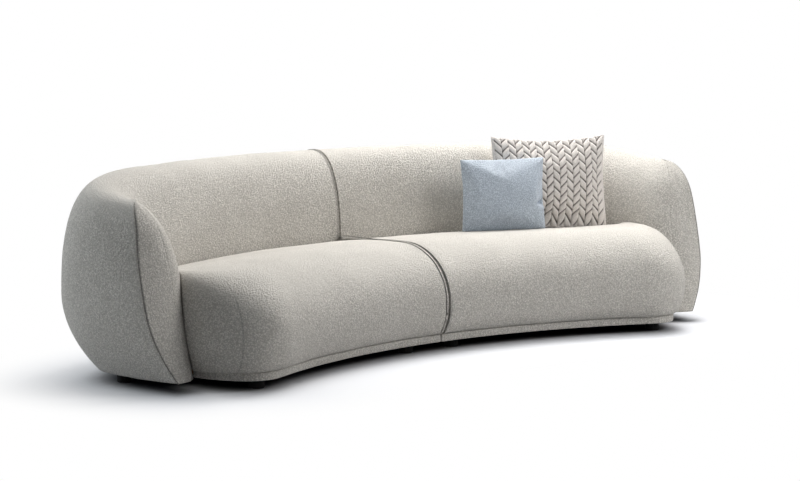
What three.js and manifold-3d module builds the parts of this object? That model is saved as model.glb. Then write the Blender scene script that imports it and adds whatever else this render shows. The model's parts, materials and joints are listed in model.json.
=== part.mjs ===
// Curved two-module sofa with a low plinth, a barrel back that runs into both arms,
// and two loose cushions. Millimetres, +Z up, +Y to the back, X = 0 between the modules.
import * as THREE from 'three';
import { ParametricGeometry } from 'three/addons/geometries/ParametricGeometry.js';
import { mergeVertices } from 'three/addons/utils/BufferGeometryUtils.js';
import Module from 'manifold-3d';

const wasm = await Module();
wasm.setup();

// Plan of the upholstery, from the seat's front line at the split. Each curve is an arc from the split, then
// a cubic that turns the corner and ends beyond the arc's end by its corner reach and drop.
const BACK_RADIUS = 2264;
const SEAT_DEPTH = 678;
const BACK_DEPTH = 345;
const SEAT_RADIUS_STEP = 23;
const BACK_RADIUS_STEP = 331;
const INNER_PLAN = {
  startY: SEAT_DEPTH,
  radius: BACK_RADIUS,
  sweepDeg: 27.2,
  cornerReach: 197.1,
  cornerDrop: 491.6,
  headingDeg: 88.7,
  leaveReach: 305,
  arriveReach: 284,
  kneeShare: 0.55,
};
const OUTER_PLAN = {
  startY: SEAT_DEPTH + BACK_DEPTH,
  radius: BACK_RADIUS + BACK_RADIUS_STEP,
  sweepDeg: 28.4,
  cornerReach: 250.8,
  cornerDrop: 781.7,
  headingDeg: 105.1,
  leaveReach: 471,
  arriveReach: 377,
  kneeShare: 0.55,
};
const FRONT_PLAN = {
  startY: 0,
  radius: BACK_RADIUS - SEAT_RADIUS_STEP,
  sweepDeg: 25.6,
  cornerReach: 334.7,
  cornerDrop: -394,
  headingDeg: -90,
  leaveReach: 235,
  arriveReach: 261,
  kneeShare: 0.6,
};

// Back and arm section.
const BACK_HEIGHT = 767;
const ARM_HEIGHT = 684;
const SKIRT_Z = 43;
const BACK_CREST_Z = 393;
const ARM_CREST_Z = 433;
const BULGE_Z = 341;
const SKIRT_SHARE = 0.627;
const RIDGE_SHARE_BACK = 0.5;
const RIDGE_SHARE_ARM = 0.567;
const INNER_POWER_BACK = 2.4;
const INNER_POWER_ARM = 1.74;
const OUTER_POWER_BACK = 2.17;
const OUTER_POWER_ARM = 2.34;
const ARM_LEAN_SHARE = 0.1755;
const ARM_LEAN_BOW = 17;
const ARM_CORNER = 87;
const ARM_CORNER_SHARE = 0.8;
const ARM_RUN = 950;
const NOSE_SHARE = 0.891;
const NOSE_POWER = 2.4;
const SEAM_SHARE = 0.923;
const FALL_SHARE = 0.494;
const EDGE_ROUND = 18;
const HEM_ROUND = 14;
const HEM_SHARE = 0.03;
const MODULE_GAP = 1.5;
const CUT_CLEAR = 1.5;
const FIT_CLEAR = 0.3;
const OVERCUT = 10;
const MERGE_STEP = 1e-3;

// Seat section.
const SEAT_BOTTOM_Z = 68.3;
const SEAT_NOSE_Z = 194;
const SEAT_TOP_Z = 424;
const SEAT_BACK_Z = 395;
const SEAT_NOSE_DEPTH = 266;
const SEAT_UNDERCUT = 53;
const SEAT_TUCK = 30;
const SEAT_UPPER_POWER = 2.05;
const SEAT_LOWER_POWER = 1.8;
const SEAT_SIDE_SHARE = 0.6;
const SEAT_BACK_SHARE = 0.8;

// Plinth.
const PLINTH_SETBACK = 49;
const PLINTH_PAD = 11;
const PLINTH_BOTTOM_Z = 38;
const PLINTH_TOP_Z = 68;
const PLINTH_LIP = 8;
const PLINTH_END_X = 2.5;
const BOARD_BOTTOM_Z = 48;
const BOARD_TOP_Z = 68;
const BOARD_SPLIT_GAP = 8;
const BOARD_FRONT_END_SHARE = 0.93;
const BOARD_BACK_END_SHARE = 0.86;
const BOARD_SHARE = 0.6;
const REBATE_CLEAR = 1;
const DUST_COVER = 1;
const DUST_INSET = 25;

// Timber frame.
const PLY = 22;
const PANEL = 5;
const PANEL_EDGE = 8;
const SEAT_RAIL_TOP_Z = 206;
const SEAT_RAIL_FRONT_INSET = 150;
const SEAT_RAIL_BACK_INSET = 42;
const SEAT_RAIL_END_X = 30;
const RAIL_CLEAR = 0.4;
const FRONT_RAIL_END_SHARE = 0.64;
const BACK_RAIL_END_SHARE = 0.53;
const WELL_PAST_SHARE = 0.03;
const WEB_WIDTH = 60;
const WEB_THICK = 2;
const WEB_EDGE = 10;
const WEB_COUNT = 7;
const WEB_CROSS_COUNT = 3;
const POCKET_CLEAR = 1.5;
const RIB_DEPTH = 66;
const RIB_RELIEF = 2;
const RIB_TOP_Z = 580;
const RIB_SHARES = [0.035, 0.27, 0.51, 0.77];
const RIB_MID_SHARE = 0.5;
const POCKET_END_SHARE = 0.81;
const ARCH_STEPS = 20;

// Feet and fasteners.
const FOOT_RADIUS = 30;
const FOOT_CHAMFER = 3;
const FOOT_HOLE_CLEAR = 3;
const FOOT_INSET_SHARE = 2.2;
const FOOT_BACK_SHARE = 0.38;
const FOOT_FRONT_SHARES = [0.07, 0.66];
const FOOT_REAR_SHARES = [0.09, 0.76];
const STUD_RADIUS = 4;
const STUD_TOP_Z = 64;
const SCREW_RADIUS = 2.5;
const SCREW_HEAD = 5;
const SCREW_TOP_Z = 63;
const SIDES = 16;
const WALL_STEPS = 9;
const NOSE_STEPS = 5;

// Drop-on links between the modules.
const LINK_WIDTH = 40;
const LINK_THICK = 4;
const LINK_REACH = 46;
const LINK_CRANK_X = 10;
const LINK_HOLD = 78;
const LINK_PIN = 5;
const LINK_PIN_X = 30;
const LINK_PIN_TOP_Z = 62;
const LINK_PIN_HOLE = 5.6;
const LINK_BOARD_HOLE = 9;
const LINK_SHARES = [0.1535, 0.6911];
const LINK_YS = LINK_SHARES.map((share) => share * (SEAT_DEPTH + BACK_DEPTH));
const LINK_SCREW_XS = [34, 62];
const LINK_SOCKET_SCREW_XS = [54, 68];

// Loose cushions. Each stands on the seat at a share of the back's line, so far in front of it,
// turned from it, leaning back, with its low edge so far above or below the seat's top there.
const BLUE = {
  width: 400,
  height: 306,
  thick: 124,
  backShare: 0.3815,
  backGap: 179.5,
  turnDeg: 0.87,
  leanDeg: 5,
  rise: -0.1,
  sideDip: 8,
  topDip: 0,
  footDip: 5.4,
  edge: 6,
  acrossCount: 14,
  upCount: 12,
  relief: 0,
};
const WOVEN = {
  width: 528,
  height: 396,
  thick: 140,
  backShare: 0.5213,
  backGap: 72.9,
  turnDeg: -0.32,
  leanDeg: 6,
  rise: 5.3,
  sideDip: 8,
  topDip: 24,
  footDip: 4,
  edge: 9,
  acrossCount: 24,
  upCount: 23,
  relief: 6,
};
const PLAIT_COLUMNS = 8;
const PLAIT_ROWS = 8;

// Small helpers.
const rad = THREE.MathUtils.degToRad;
const clamp01 = (t) => THREE.MathUtils.clamp(t, 0, 1);
const smooth = (t) => THREE.MathUtils.smoothstep(t, 0, 1);
const mix = THREE.MathUtils.lerp;

// A point of a plan curve: heading 0 runs along +X and turns towards -Y.
function planPoint(plan, share) {
  const sweep = rad(plan.sweepDeg);
  const turn = sweep * clamp01(share / plan.kneeShare);
  const x = plan.radius * Math.sin(turn);
  const y = plan.startY - plan.radius * (1 - Math.cos(turn));
  if (share <= plan.kneeShare) return new THREE.Vector2(x, y);
  const heading = rad(plan.headingDeg);
  const end = new THREE.Vector2(x + plan.cornerReach, y - plan.cornerDrop);
  const bend = new THREE.CubicBezierCurve(
    new THREE.Vector2(x, y),
    new THREE.Vector2(x + plan.leaveReach * Math.cos(sweep), y - plan.leaveReach * Math.sin(sweep)),
    new THREE.Vector2(-Math.cos(heading), Math.sin(heading)).multiplyScalar(plan.arriveReach).add(end),
    end,
  );
  return bend.getPoint((share - plan.kneeShare) / (1 - plan.kneeShare));
}

// The same curve moved sideways, to the left of its own direction for a positive distance.
function planOffset(plan, share, distance) {
  const step = 1e-3;
  const before = planPoint(plan, Math.max(share - step, 0));
  const after = planPoint(plan, Math.min(share + step, 1));
  const along = after.sub(before).normalize();
  return planPoint(plan, share).add(new THREE.Vector2(-along.y, along.x).multiplyScalar(distance));
}

const wallThickness = (share) => planPoint(INNER_PLAN, share).distanceTo(planPoint(OUTER_PLAN, share));

// A point between the inner and the outer plan curves.
function planBetween(share, across) {
  return planPoint(INNER_PLAN, share).lerp(planPoint(OUTER_PLAN, share), across);
}

// Removes the normals, joins the shared corners and drops the flat triangles.
function weld(geometry) {
  const bare = geometry.clone();
  bare.deleteAttribute('normal');
  bare.deleteAttribute('uv');
  const merged = mergeVertices(bare, MERGE_STEP);
  const index = merged.getIndex().array;
  const kept = [];
  for (let i = 0; i < index.length; i += 3) {
    const [a, b, c] = [index[i], index[i + 1], index[i + 2]];
    if (a !== b && b !== c && c !== a) kept.push(a, b, c);
  }
  const closed = new THREE.BufferGeometry();
  closed.setAttribute('position', merged.getAttribute('position'));
  closed.setIndex(kept);
  return signedVolume(closed) < 0 ? flipped(closed) : closed;
}

function signedVolume(geometry) {
  const position = geometry.getAttribute('position');
  const index = geometry.getIndex().array;
  const [a, b, c] = [new THREE.Vector3(), new THREE.Vector3(), new THREE.Vector3()];
  let sum = 0;
  for (let i = 0; i < index.length; i += 3) {
    a.fromBufferAttribute(position, index[i]);
    b.fromBufferAttribute(position, index[i + 1]);
    c.fromBufferAttribute(position, index[i + 2]);
    sum += a.dot(b.cross(c));
  }
  return sum / 6;
}

function flipped(geometry) {
  const index = Array.from(geometry.getIndex().array);
  for (let i = 0; i < index.length; i += 3) [index[i + 1], index[i + 2]] = [index[i + 2], index[i + 1]];
  geometry.setIndex(index);
  return geometry;
}

// A closed skin from a grid of rows; every row is a closed loop, and the end rows close up.
function skin(rows) {
  const across = rows[0].length;
  const geometry = new ParametricGeometry((u, v, target) => {
    const i = Math.round(u * (rows.length - 1));
    const j = Math.round(v * across) % across;
    target.copy(rows[i][j]);
  }, rows.length - 1, across);
  return weld(geometry);
}

function toSolid(geometry) {
  const welded = geometry.getAttribute('normal') ? weld(geometry) : geometry;
  const vertProperties = new Float32Array(welded.getAttribute('position').array);
  const triVerts = new Uint32Array(welded.getIndex().array);
  return new wasm.Manifold(new wasm.Mesh({ numProp: 3, vertProperties, triVerts }));
}

function toGeometry(solid) {
  const mesh = solid.getMesh();
  const geometry = new THREE.BufferGeometry();
  geometry.setAttribute('position', new THREE.BufferAttribute(new Float32Array(mesh.vertProperties), 3));
  geometry.setIndex(Array.from(mesh.triVerts));
  return geometry;
}

function cut(geometry, ...tools) {
  return toGeometry(tools.reduce((solid, tool) => solid.subtract(toSolid(tool)), toSolid(geometry)));
}

function join(geometries) {
  return toGeometry(geometries.map(toSolid).reduce((sum, solid) => sum.add(solid)));
}

// A flat-sided block of a plan outline between two heights.
function block(points, low, high, holes = []) {
  const shape = new THREE.Shape(points);
  holes.forEach(({ x, y, r }) => shape.holes.push(new THREE.Path().absarc(x, y, r, 0, 2 * Math.PI, true)));
  const settings = { depth: high - low, bevelEnabled: false, curveSegments: SIDES / 2 };
  return new THREE.ExtrudeGeometry(shape, settings).translate(0, 0, low);
}

const shares = (from, to, count) => Array.from({ length: count + 1 }, (_, i) => mix(from, to, i / count));

// A lathed piece about a vertical axis at (x, y); the profile lists radius and height.
function turned(profile, x, y, closed = false) {
  const points = profile.map(([r, z]) => new THREE.Vector2(r, z));
  if (closed) points.push(points[0].clone());
  return new THREE.LatheGeometry(points, SIDES).rotateX(Math.PI / 2).translate(x, y, 0);
}

// Section of the back and arm: how far across the wall its two faces are at one height share.
function wallShares(u, zeta) {
  const arm = smooth((u - 0.4) / 0.5);
  const ridge = mix(RIDGE_SHARE_BACK, RIDGE_SHARE_ARM, arm);
  const crest = (mix(BACK_CREST_Z, ARM_CREST_Z, arm) - SKIRT_Z) / (BACK_HEIGHT - SKIRT_Z);
  const bulge = (BULGE_Z - SKIRT_Z) / (BACK_HEIGHT - SKIRT_Z);
  const innerPower = mix(INNER_POWER_BACK, INNER_POWER_ARM, arm);
  const outerPower = mix(OUTER_POWER_BACK, OUTER_POWER_ARM, arm);
  const rise = clamp01((zeta - crest) / (1 - crest));
  const fall = clamp01((zeta - bulge) / (1 - bulge));
  const inner = ridge * (1 - (1 - rise ** innerPower) ** (1 / innerPower));
  const under = 1 - (1 - SKIRT_SHARE) * clamp01((bulge - zeta) / bulge) ** 2;
  const outer = zeta > bulge ? ridge + (1 - ridge) * (1 - fall ** outerPower) ** (1 / outerPower) : under;
  return { inner, outer };
}

// One point of the back and arm. u runs from the split to the arm's front, zeta from the hem up.
function wallPoint({ u, x, inset }, zeta, side, grow) {
  const { inner, outer } = wallShares(u, zeta);
  const top = clamp01((zeta - ARM_CORNER_SHARE) / (1 - ARM_CORNER_SHARE));
  const lean = ARM_LEAN_SHARE * zeta * (ARM_HEIGHT - SKIRT_Z) + ARM_LEAN_BOW * zeta ** 2;
  const setback = lean + ARM_CORNER * (1 - Math.sqrt(1 - top ** 2));
  const share = Math.min(u * (1 - ((setback - grow) * (1 - INNER_PLAN.kneeShare)) / ARM_RUN), 1);
  const from = planPoint(INNER_PLAN, share);
  const to = planPoint(OUTER_PLAN, share);
  const thick = from.distanceTo(to);
  const taper = clamp01((u - NOSE_SHARE) / (1 - NOSE_SHARE));
  const close = (1 - taper ** NOSE_POWER) ** (1 / NOSE_POWER);
  const pivot = inner + SEAM_SHARE * (outer - inner);
  const hem = zeta === 0 ? HEM_ROUND / thick : 0;
  const pull = inset / thick;
  let across = side < 0 ? inner + hem + pull - grow / thick : outer - hem - pull + grow / thick;
  if (side < 0 ? across > pivot : across < pivot - (outer - inner)) across = pivot;
  across = pivot + (across - pivot) * close;
  const spot = from.clone().lerp(to, across);
  const height = mix(BACK_HEIGHT, ARM_HEIGHT, smooth((share - FALL_SHARE) / (0.98 - FALL_SHARE)));
  const low = SKIRT_Z - grow;
  const z = low + (height + grow - low) * zeta;
  const squeezed = mix(low + inset, height + grow - inset, zeta);
  return new THREE.Vector3(x ?? spot.x, spot.y, inset > 0 ? squeezed : z);
}

// Height shares of the wall's rows of points, closer towards the crest.
const WALL_ZETAS = [
  0,
  HEM_SHARE,
  ...shares(1, WALL_STEPS, WALL_STEPS - 1).map((k) => Math.sin((k / WALL_STEPS) * (Math.PI / 2))),
];

// Stations of the wall: the rounded end at the split, the arc, the corner and the nose.
function wallStations(gap) {
  const ends = [
    { u: 0, x: gap, inset: EDGE_ROUND },
    { u: 0, x: gap + EDGE_ROUND * 0.3, inset: EDGE_ROUND * 0.3 },
    { u: 0, x: gap + EDGE_ROUND, inset: 0 },
  ];
  const run = [...shares(0.09, 0.5, 5), ...shares(0.56, NOSE_SHARE, 7)].map((u) => ({ u, inset: 0 }));
  const nose = shares(1 / NOSE_STEPS, 1, NOSE_STEPS - 1).map((q) => (
    { u: NOSE_SHARE + (1 - NOSE_SHARE) * Math.sin(q * (Math.PI / 2)), inset: 0 }
  ));
  return [...ends, ...run, ...nose];
}

function wallGeometry(grow = 0) {
  const stations = wallStations(grow > 0 ? -EDGE_ROUND : MODULE_GAP);
  const loop = (station, closeUp) => {
    const inner = WALL_ZETAS.map((zeta) => wallPoint(station, zeta, -1, grow));
    const outer = WALL_ZETAS.slice(0, -1).reverse().map((zeta) => wallPoint(station, zeta, 1, grow));
    const points = [...inner, ...outer];
    if (!closeUp) return points;
    const twin = (j) => points[Math.min(points.length - 1 - j, points.length - 1)];
    return points.map((point, j) => point.clone().lerp(twin(j), 0.5));
  };
  return skin([loop(stations[0], true), ...stations.map((station) => loop(station, false))]);
}

// Ribs, rails and pockets of the back follow the middle of the wall.
const ribAt = (share) => {
  const spot = planBetween(share, RIB_MID_SHARE);
  const ahead = planBetween(share + 0.01, RIB_MID_SHARE).sub(planBetween(share - 0.01, RIB_MID_SHARE));
  return { spot, turn: Math.atan2(ahead.y, ahead.x) };
};

// Strip of constant width along the middle of the wall.
function ribStrip(fromShare, toShare, nearEdge, farEdge, steps) {
  const side = (share, distance) => {
    const { spot, turn } = ribAt(share);
    return spot.clone().add(new THREE.Vector2(-Math.sin(turn), Math.cos(turn)).multiplyScalar(distance));
  };
  const near = shares(fromShare, toShare, steps).map((share) => side(share, nearEdge));
  const far = shares(toShare, fromShare, steps).map((share) => side(share, farEdge));
  return [...near, ...far];
}

// How far the seat's front roll reaches back, for a seat so deep.
function seatNose(t, depth) {
  return Math.min(SEAT_NOSE_DEPTH * mix(1, SEAT_SIDE_SHARE, smooth((t - 0.7) / 0.3)), 0.8 * depth);
}

// Height of the seat's top at a share of the back's line, a distance in front of it.
function seatTopAt(backShare, backGap) {
  const t = backShare / SEAT_BACK_SHARE;
  const depth = planPoint(FRONT_PLAN, t).distanceTo(planPoint(INNER_PLAN, backShare));
  const nose = seatNose(t, depth);
  return mix(SEAT_TOP_Z, SEAT_BACK_Z, clamp01((depth - backGap - nose) / (depth + SEAT_TUCK - nose)) ** 2);
}

// Seat section, as distance back from the front line and height, for one station.
function seatLoop({ t, x, inset }) {
  const from = planPoint(FRONT_PLAN, t);
  const to = planPoint(INNER_PLAN, t * SEAT_BACK_SHARE);
  const depth = from.distanceTo(to);
  const reach = depth + SEAT_TUCK;
  const nose = seatNose(t, depth);
  const under = Math.min(SEAT_UNDERCUT, 0.3 * depth);
  const profile = [];
  shares(0, 1, 3).forEach((q) => {
    const a = (q * Math.PI) / 2;
    const back = 1 - Math.sin(a) ** (2 / SEAT_LOWER_POWER);
    const drop = Math.cos(a) ** (2 / SEAT_LOWER_POWER);
    profile.push([under * back, mix(SEAT_NOSE_Z, SEAT_BOTTOM_Z, drop)]);
  });
  shares(1 / 6, 1, 5).forEach((q) => {
    const a = (q * Math.PI) / 2;
    const back = 1 - Math.cos(a) ** (2 / SEAT_UPPER_POWER);
    const rise = Math.sin(a) ** (2 / SEAT_UPPER_POWER);
    profile.push([nose * back, mix(SEAT_NOSE_Z, SEAT_TOP_Z, rise)]);
  });
  shares(1 / 3, 1, 2).forEach((q) => {
    profile.push([mix(nose, reach, q), mix(SEAT_TOP_Z, SEAT_BACK_Z, q ** 2)]);
  });
  profile.push([reach, SEAT_BOTTOM_Z]);
  const middle = [reach * 0.45, (SEAT_BOTTOM_Z + SEAT_TOP_Z) / 2];
  return profile.map(([d, z]) => {
    const dd = d + Math.sign(middle[0] - d) * Math.min(inset, Math.abs(middle[0] - d));
    const zz = z + Math.sign(middle[1] - z) * Math.min(inset, Math.abs(middle[1] - z));
    const spot = from.clone().lerp(to, dd / depth);
    return new THREE.Vector3(x ?? spot.x, spot.y, zz);
  });
}

function seatGeometry() {
  const ends = [
    { t: 0, x: MODULE_GAP, inset: EDGE_ROUND },
    { t: 0, x: MODULE_GAP + EDGE_ROUND * 0.3, inset: EDGE_ROUND * 0.3 },
    { t: 0, x: MODULE_GAP + EDGE_ROUND, inset: 0 },
  ];
  const run = [...shares(0.1, 0.6, 5), ...shares(0.65, 1, 8)].map((t) => ({ t, inset: 0 }));
  const loops = [...ends, ...run].map(seatLoop);
  const centre = (loop) => {
    const total = loop.reduce((sum, point) => sum.add(point), new THREE.Vector3());
    const middle = total.divideScalar(loop.length);
    return loop.map(() => middle.clone());
  };
  return skin([centre(loops[0]), ...loops, centre(loops[loops.length - 1])]);
}

// Outline of the board that carries the module.
function boardOutline(grow) {
  const setback = PLINTH_SETBACK + PLINTH_PAD - grow;
  const front = shares(0.0, BOARD_FRONT_END_SHARE, 16).map((t) => planOffset(FRONT_PLAN, t, setback));
  const behind = (share) => planBetween(share, BOARD_SHARE + grow / wallThickness(share));
  const back = shares(BOARD_BACK_END_SHARE, 0, 14).map(behind);
  const outline = [...front, ...back];
  outline.forEach((point) => { point.x = Math.max(point.x, BOARD_SPLIT_GAP - grow); });
  outline[0].x = BOARD_SPLIT_GAP - grow;
  outline[outline.length - 1].x = BOARD_SPLIT_GAP - grow;
  return outline;
}

// Region inside the seat upholstery where the seat frame stands.
function seatWell(grow) {
  const inFront = (share) => planOffset(FRONT_PLAN, share, SEAT_RAIL_FRONT_INSET - grow);
  const inBack = (share) => planOffset(INNER_PLAN, share, -(SEAT_RAIL_BACK_INSET - grow));
  const front = shares(0, FRONT_RAIL_END_SHARE + WELL_PAST_SHARE, 10).map(inFront);
  const back = shares(BACK_RAIL_END_SHARE + WELL_PAST_SHARE, 0, 10).map(inBack);
  const outline = [...front, ...back];
  outline.forEach((point) => { point.x = Math.max(point.x, SEAT_RAIL_END_X - grow); });
  return outline;
}

// Rails cut from the well's outline: a band along one of its long sides.
function railBand(plan, endShare, inset, side, steps) {
  const outer = shares(0, endShare, steps).map((share) => planOffset(plan, share, side * inset));
  const inner = shares(endShare, 0, steps).map((share) => planOffset(plan, share, side * (inset + PLY)));
  const outline = [...outer, ...inner];
  outline.forEach((point) => { point.x = Math.max(point.x, SEAT_RAIL_END_X); });
  return outline;
}

const frontRailLine = (share) => planOffset(FRONT_PLAN, share, SEAT_RAIL_FRONT_INSET + PLY);
const backRailLine = (share) => planOffset(INNER_PLAN, share, -(SEAT_RAIL_BACK_INSET + PLY));
const yOnFrontRail = (x) => yAtX(frontRailLine, FRONT_RAIL_END_SHARE, x);
const yOnBackRail = (x) => yAtX(backRailLine, BACK_RAIL_END_SHARE, x);

// The y of a curve where it passes x, by halving.
function yAtX(curve, endShare, x) {
  let [low, high] = [0, endShare];
  for (let i = 0; i < 40; i += 1) {
    const middle = (low + high) / 2;
    if (curve(middle).x < x) low = middle;
    else high = middle;
  }
  return curve((low + high) / 2).y;
}

// A rail that runs from the front rail to the back rail, and the strap that lies over both.
function crossRail(x) {
  const [a, b] = [x, x + PLY];
  const front = (at) => new THREE.Vector2(at, Math.max(yOnFrontRail(a), yOnFrontRail(b)) + RAIL_CLEAR);
  const back = (at) => new THREE.Vector2(at, Math.min(yOnBackRail(a), yOnBackRail(b)) - RAIL_CLEAR);
  return block([front(a), front(b), back(b), back(a)], BOARD_TOP_Z, SEAT_RAIL_TOP_Z);
}

function strap(x) {
  const [a, b] = [x - WEB_WIDTH / 2, x + WEB_WIDTH / 2];
  const low = (at) => new THREE.Vector2(at, yOnFrontRail(at) - PLY / 2);
  const high = (at) => new THREE.Vector2(at, yOnBackRail(at) + PLY / 2);
  return block([low(a), low(b), high(b), high(a)], SEAT_RAIL_TOP_Z, SEAT_RAIL_TOP_Z + WEB_THICK);
}

// A strap across the others, at a share of the way from the front rail to the back rail.
function crossStrap(railSpan, share) {
  const [a, b] = [SEAT_RAIL_END_X + PLY / 2, SEAT_RAIL_END_X + railSpan + PLY / 2];
  const side = (x, edge) => {
    const y = mix(yOnFrontRail(x), yOnBackRail(x), share);
    return new THREE.Vector2(x, y + (edge * WEB_WIDTH) / 2);
  };
  const stops = shares(a, b, 6);
  const outline = [...stops.map((x) => side(x, -1)), ...stops.slice().reverse().map((x) => side(x, 1))];
  return block(outline, SEAT_RAIL_TOP_Z, SEAT_RAIL_TOP_Z + WEB_THICK);
}

// Foot places: two along the front, one under the back and one under the arm.
function footSpots() {
  const setback = PLINTH_SETBACK + PLINTH_PAD + FOOT_RADIUS * FOOT_INSET_SHARE;
  const inFront = (t) => planOffset(FRONT_PLAN, t, setback);
  const inBack = (share) => planBetween(share, FOOT_BACK_SHARE);
  return [...FOOT_FRONT_SHARES.map(inFront), ...FOOT_REAR_SHARES.map(inBack)];
}

// A tapered foot with its moulded-in stud.
function footGeometry({ x, y }) {
  return turned([
    [0, 0],
    [FOOT_RADIUS - FOOT_CHAMFER, 0],
    [FOOT_RADIUS, FOOT_CHAMFER],
    [FOOT_RADIUS - FOOT_CHAMFER, BOARD_BOTTOM_Z],
    [STUD_RADIUS, BOARD_BOTTOM_Z],
    [STUD_RADIUS, STUD_TOP_Z],
    [0, STUD_TOP_Z],
  ], x, y);
}

// A countersunk screw from below.
function screwGeometry({ x, y }) {
  const low = BOARD_BOTTOM_Z - LINK_THICK;
  return turned([
    [0, low],
    [SCREW_HEAD, low],
    [SCREW_RADIUS, low + SCREW_HEAD - SCREW_RADIUS],
    [SCREW_RADIUS, SCREW_TOP_Z - SCREW_RADIUS],
    [0, SCREW_TOP_Z],
  ], x, y);
}

// The matching hole in a plate of the links, from below, and the screw's bore.
function screwBore({ x, y }, low, high) {
  const head = SCREW_HEAD + FIT_CLEAR;
  const shank = SCREW_RADIUS + FIT_CLEAR;
  return turned([
    [0, low - OVERCUT],
    [head, low - OVERCUT],
    [head, low],
    [shank, low + head - shank],
    [shank, high],
    [0, high],
  ], x, y);
}

// Loose cushion: two faces that meet in an edge, which dips between the corners, on its low edge.
function cushionGeometry(spec) {
  const { width, height, thick, sideDip, topDip, footDip, edge, acrossCount, upCount, relief } = spec;
  const fullness = (a, b) => ((1 - Math.abs(a) ** 2.2) * (1 - Math.abs(b) ** 2.2)) ** 0.6;
  const plait = (a, b) => {
    if (relief === 0 || Math.abs(a) > 0.93) return 0;
    const column = ((a + 1) / 2) * PLAIT_COLUMNS;
    const slant = Math.abs((column % 1) - 0.5) * 2;
    const row = ((b + 1) / 2) * PLAIT_ROWS + slant * 0.5;
    return relief * (Math.abs(Math.sin(Math.PI * row)) - 0.6) * (0.4 + 0.6 * Math.sin(Math.PI * slant));
  };
  const place = (a, b, side) => {
    const x = a * (width / 2 - sideDip * (1 - b * b));
    const z = (height / 2) * (1 + b) - b * (b > 0 ? topDip : footDip) * (1 - a * a);
    const full = fullness(a, b);
    const raised = side < 0 ? plait(a, b) * Math.min(1, full * 2) : 0;
    return new THREE.Vector3(x, side * (edge / 2 + ((thick - edge) / 2) * full + raised), z);
  };
  const loop = (b, flat) => {
    const front = shares(-1, 1, acrossCount).map((a) => place(a, b, -1));
    const back = shares(1, -1, acrossCount).map((a) => place(a, b, 1));
    return [...front, ...back].map((point) => (flat ? point.setY(0) : point));
  };
  return skin([loop(-1, true), ...shares(-1, 1, upCount).map((b) => loop(b, false)), loop(1, true)]);
}

// Materials.
function material(color, roughness, metalness = 0) {
  return new THREE.MeshStandardMaterial({ color, roughness, metalness });
}
const MATERIALS = {
  boucle: material(0xb9b4a9, 0.95),
  blueWeave: material(0x8f9cac, 0.9),
  plaited: material(0xb5aaa0, 0.9),
  plywood: material(0xb89368, 0.7),
  webbing: material(0x3a3a3c, 0.85),
  cloth: material(0x151515, 0.95),
  foot: material(0x141414, 0.5),
  steel: material(0x8d9094, 0.35, 1),
};

function mesh(name, geometry, finish) {
  const made = new THREE.Mesh(geometry, finish);
  made.name = name;
  return made;
}

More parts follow.
